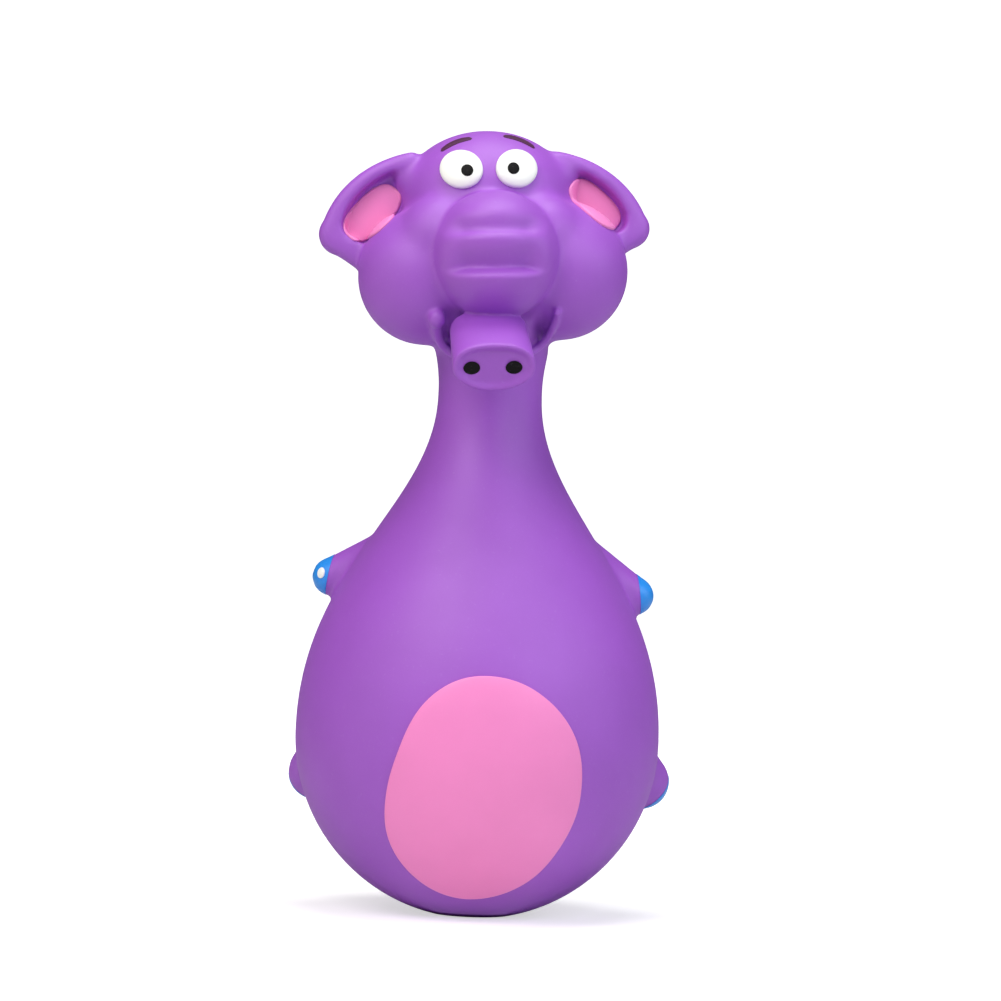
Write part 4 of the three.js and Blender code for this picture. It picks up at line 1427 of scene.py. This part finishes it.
class TOY_OT_add_liners(Operator):
    """Pink liners in the ears' hollows, each dished"""

    bl_idname = "toy.add_liners"
    bl_label = "Ear Liners"

    def execute(self, context):
        to_world = head_place()
        turn = to_world.to_3x3()
        carrier = bpy.data.objects["liner_carrier"]
        for word, side in SIDES:
            root, _, out = ear_frame(side)
            middle = root + Vector(LINERS[word][0]) * MM
            half, wide = (v * MM for v in LINERS[word][1])
            across = turn @ Vector((side * math.cos(LINER_SLANT), 0, math.sin(LINER_SLANT)))
            liner = film(
                f"ear_liner_paint_{word}",
                "liner",
                carrier,
                to_world @ middle,
                turn @ Vector((0, 1, 0)),
                across,
                oval(half, wide, half, wide, LINER_SQUARE),
                LINER_PROUD,
            )
            finish_piece(liner, "Pink paint", [f"ear_liner_{word}"])
            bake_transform(liner)
        bpy.data.objects.remove(carrier)
        return {"FINISHED"}


class TOY_OT_finish_squeaker(Operator):
    """Moulded plastic on the squeaker's plug, cap and half rounds, and film on its reed"""

    bl_idname = "toy.finish_squeaker"
    bl_label = "Squeaker Finishes"

    def execute(self, context):
        for name, finish in (
            ("squeaker_housing", "Moulded plastic"),
            ("squeaker_cap", "Moulded plastic"),
            ("reed_seat", "Moulded plastic"),
            ("reed_wedge", "Moulded plastic"),
            ("reed", "Reed film"),
        ):
            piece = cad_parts[name]
            for place_ in piece.material_slots:
                place_.material = material(finish)
        return {"FINISHED"}


# The floor's width, the height of the wall behind it and the round between them, in metres
FLOOR_SIZE = 6
WALL_HEIGHT = 4
WALL_ROUND = 1.5
# The camera's sensor, in millimetres
SENSOR_WIDTH = 36
# Each lamp's place, size, power, tint and what it looks at
LAMPS = (
    ("key lamp", (-0.5, -0.75, 0.95), 0.8, 8.4, (1, 0.94, 0.91), (0, 0, 0.11)),
    ("fill lamp", (0.65, -0.85, 0.75), 0.8, 5.0, (0.87, 0.93, 1), (0, 0, 0.08)),
    ("top lamp", (0.05, -0.05, 1.15), 0.7, 7.0, (1, 1, 1), (0, 0, 0.1)),
    ("left lamp", (-1.1, -0.4, 0.35), 0.8, 1.8, (1, 0.95, 0.9), (0, 0, 0.09)),
    ("right lamp", (1.1, -0.3, 0.5), 0.8, 2.6, (0.86, 0.93, 1), (0, 0, 0.1)),
    ("low card", (0, -0.06, 0.001), 0.1, 0.005, (1, 1, 1), (0, -0.06, 1)),
)


class TOY_OT_add_stage(Operator):
    """Floor, lamps, sky and the camera"""

    bl_idname = "toy.add_stage"
    bl_label = "Stage"

    def execute(self, context):
        sizes = context.scene.toy_stage
        self.floor()
        self.lamps()
        self.sky(context)
        self.camera(context, sizes)
        context.scene.view_settings.view_transform = "Standard"
        return {"FINISHED"}

    def floor(self):
        unpick()
        bpy.ops.mesh.primitive_plane_add(size=FLOOR_SIZE, location=(0, 0, 0))
        ground = named("floor")
        self.pick_back_edge(ground)
        bpy.ops.mesh.extrude_region_move(TRANSFORM_OT_translate={"value": (0, 0, WALL_HEIGHT)})
        done()
        self.pick_back_edge(ground)
        bpy.ops.mesh.bevel(offset=WALL_ROUND, segments=16, affect="EDGES")
        done()
        bpy.ops.object.shade_smooth()
        made = bpy.data.materials.new("Pale floor")
        made.use_nodes = True
        nodes = made.node_tree.nodes
        shader = nodes["Principled BSDF"]
        set_inputs(shader, Base_Color=(0.65, 0.65, 0.65, 1), Roughness=0.9, Specular_IOR_Level=0.1)
        path = nodes.new("ShaderNodeLightPath")
        glow = nodes.new("ShaderNodeEmission")
        dark = nodes.new("ShaderNodeEmission")
        dark.inputs["Strength"].default_value = 0
        seen = nodes.new("ShaderNodeMixShader")
        where = nodes.new("ShaderNodeTexCoord")
        away = nodes.new("ShaderNodeVectorMath")
        away.operation = "LENGTH"
        link(where, "Object", away, 0)
        far = nodes.new("ShaderNodeMapRange")
        far.interpolation_type = "SMOOTHSTEP"
        set_inputs(far, From_Min=0.12, From_Max=0.6, To_Min=0.58, To_Max=1)
        link(away, "Value", far, "Value")
        link(far, "Result", glow, "Strength")
        link(path, "Is Camera Ray", seen, "Fac")
        link(dark, "Emission", seen, 1)
        link(glow, "Emission", seen, 2)
        both = nodes.new("ShaderNodeAddShader")
        link(shader, "BSDF", both, 0)
        link(seen, "Shader", both, 1)
        link(both, "Shader", nodes["Material Output"], "Surface")
        ground.data.materials.append(made)

    def pick_back_edge(self, ground):
        """Leaves the floor in edit mode with only its back edge selected"""
        edit(ground)
        bpy.ops.mesh.select_mode(type="EDGE")
        bpy.ops.mesh.select_all(action="DESELECT")
        done()
        for edge in ground.data.edges:
            edge.select = all(
                ground.data.vertices[i].co.y > 0 and ground.data.vertices[i].co.z < 1
                for i in edge.vertices
            )
        open_mesh()

    def lamps(self):
        for name, place_, size, power, tint, target in LAMPS:
            bpy.ops.object.light_add(type="AREA", location=place_)
            lamp = bpy.context.object
            lamp.name = name
            lamp.data.shape = "DISK"
            lamp.data.size = size
            lamp.data.energy = power
            lamp.data.color = tint
            lamp.visible_camera = False
            way = Vector(target) - Vector(place_)
            lamp.rotation_euler = way.to_track_quat("-Z", "Y").to_euler()

    def sky(self, context):
        world = bpy.data.worlds.new("Studio")
        context.scene.world = world
        world.use_nodes = True
        nodes = world.node_tree.nodes
        sky = nodes["Background"]
        set_inputs(sky, Color=(1, 1, 1, 1), Strength=0.12)
        bright = nodes.new("ShaderNodeBackground")
        set_inputs(bright, Color=(1, 1, 1, 1), Strength=1)
        path = nodes.new("ShaderNodeLightPath")
        seen = nodes.new("ShaderNodeMixShader")
        link(path, "Is Camera Ray", seen, "Fac")
        link(sky, "Background", seen, 1)
        link(bright, "Background", seen, 2)
        link(seen, "Shader", nodes["World Output"], "Surface")

    def camera(self, context, sizes):
        bpy.ops.object.camera_add(location=(sizes.aim[0], -sizes.distance, sizes.height))
        camera = bpy.context.object
        camera.name = "camera"
        camera.data.sensor_width = SENSOR_WIDTH
        camera.data.lens = SENSOR_WIDTH * sizes.distance / sizes.view_width
        camera.data.clip_end = 50
        look = Vector(sizes.aim) - camera.location
        turn = look.to_track_quat("-Z", "Y").to_matrix().to_4x4()
        roll = Matrix.Rotation(sizes.roll, 4, "Z")
        camera.matrix_world = Matrix.Translation(camera.location) @ turn @ roll
        context.scene.camera = camera


class TOY_PT_panel(Panel):
    """Lists the toy's pieces and sizes"""

    bl_idname = "TOY_PT_panel"
    bl_label = "Latex Elephant"
    bl_space_type = "VIEW_3D"
    bl_region_type = "UI"
    bl_category = "Toy"

    def draw(self, context):
        for operator in OPERATORS:
            self.layout.operator(operator.bl_idname, text=operator.bl_label)
        for key in GROUPS:
            group = getattr(context.scene, key)
            box = self.layout.box()
            for name in group.__annotations__:
                box.prop(group, name, text=name.replace("_", " ").capitalize())


GROUPS = {
    "toy_body": BodySizes,
    "toy_limbs": LimbSizes,
    "toy_head": HeadSizes,
    "toy_trunk": TrunkSizes,
    "toy_ears": EarSizes,
    "toy_face": FaceSizes,
    "toy_patch": PatchSizes,
    "toy_colours": Colours,
    "toy_stage": StageSizes,
}
OPERATORS = (
    TOY_OT_add_body,
    TOY_OT_add_head,
    TOY_OT_add_patch,
    TOY_OT_add_face,
    TOY_OT_add_liners,
    TOY_OT_finish_squeaker,
    TOY_OT_add_stage,
)


def register():
    for group in GROUPS.values():
        bpy.utils.register_class(group)
    for key, group in GROUPS.items():
        setattr(bpy.types.Scene, key, PointerProperty(type=group))
    for operator in OPERATORS:
        bpy.utils.register_class(operator)
    bpy.utils.register_class(TOY_PT_panel)


def unregister():
    bpy.utils.unregister_class(TOY_PT_panel)
    for operator in reversed(OPERATORS):
        bpy.utils.unregister_class(operator)
    for key in reversed(GROUPS):
        delattr(bpy.types.Scene, key)
    for group in reversed(list(GROUPS.values())):
        bpy.utils.unregister_class(group)


def main():
    register()
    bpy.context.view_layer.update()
    bpy.ops.toy.add_body()
    bpy.ops.toy.add_head()
    bpy.ops.toy.add_patch()
    bpy.ops.toy.add_face()
    bpy.ops.toy.add_liners()
    bpy.ops.toy.finish_squeaker()
    bpy.ops.toy.add_stage()


if __name__ == "__main__":
    main()
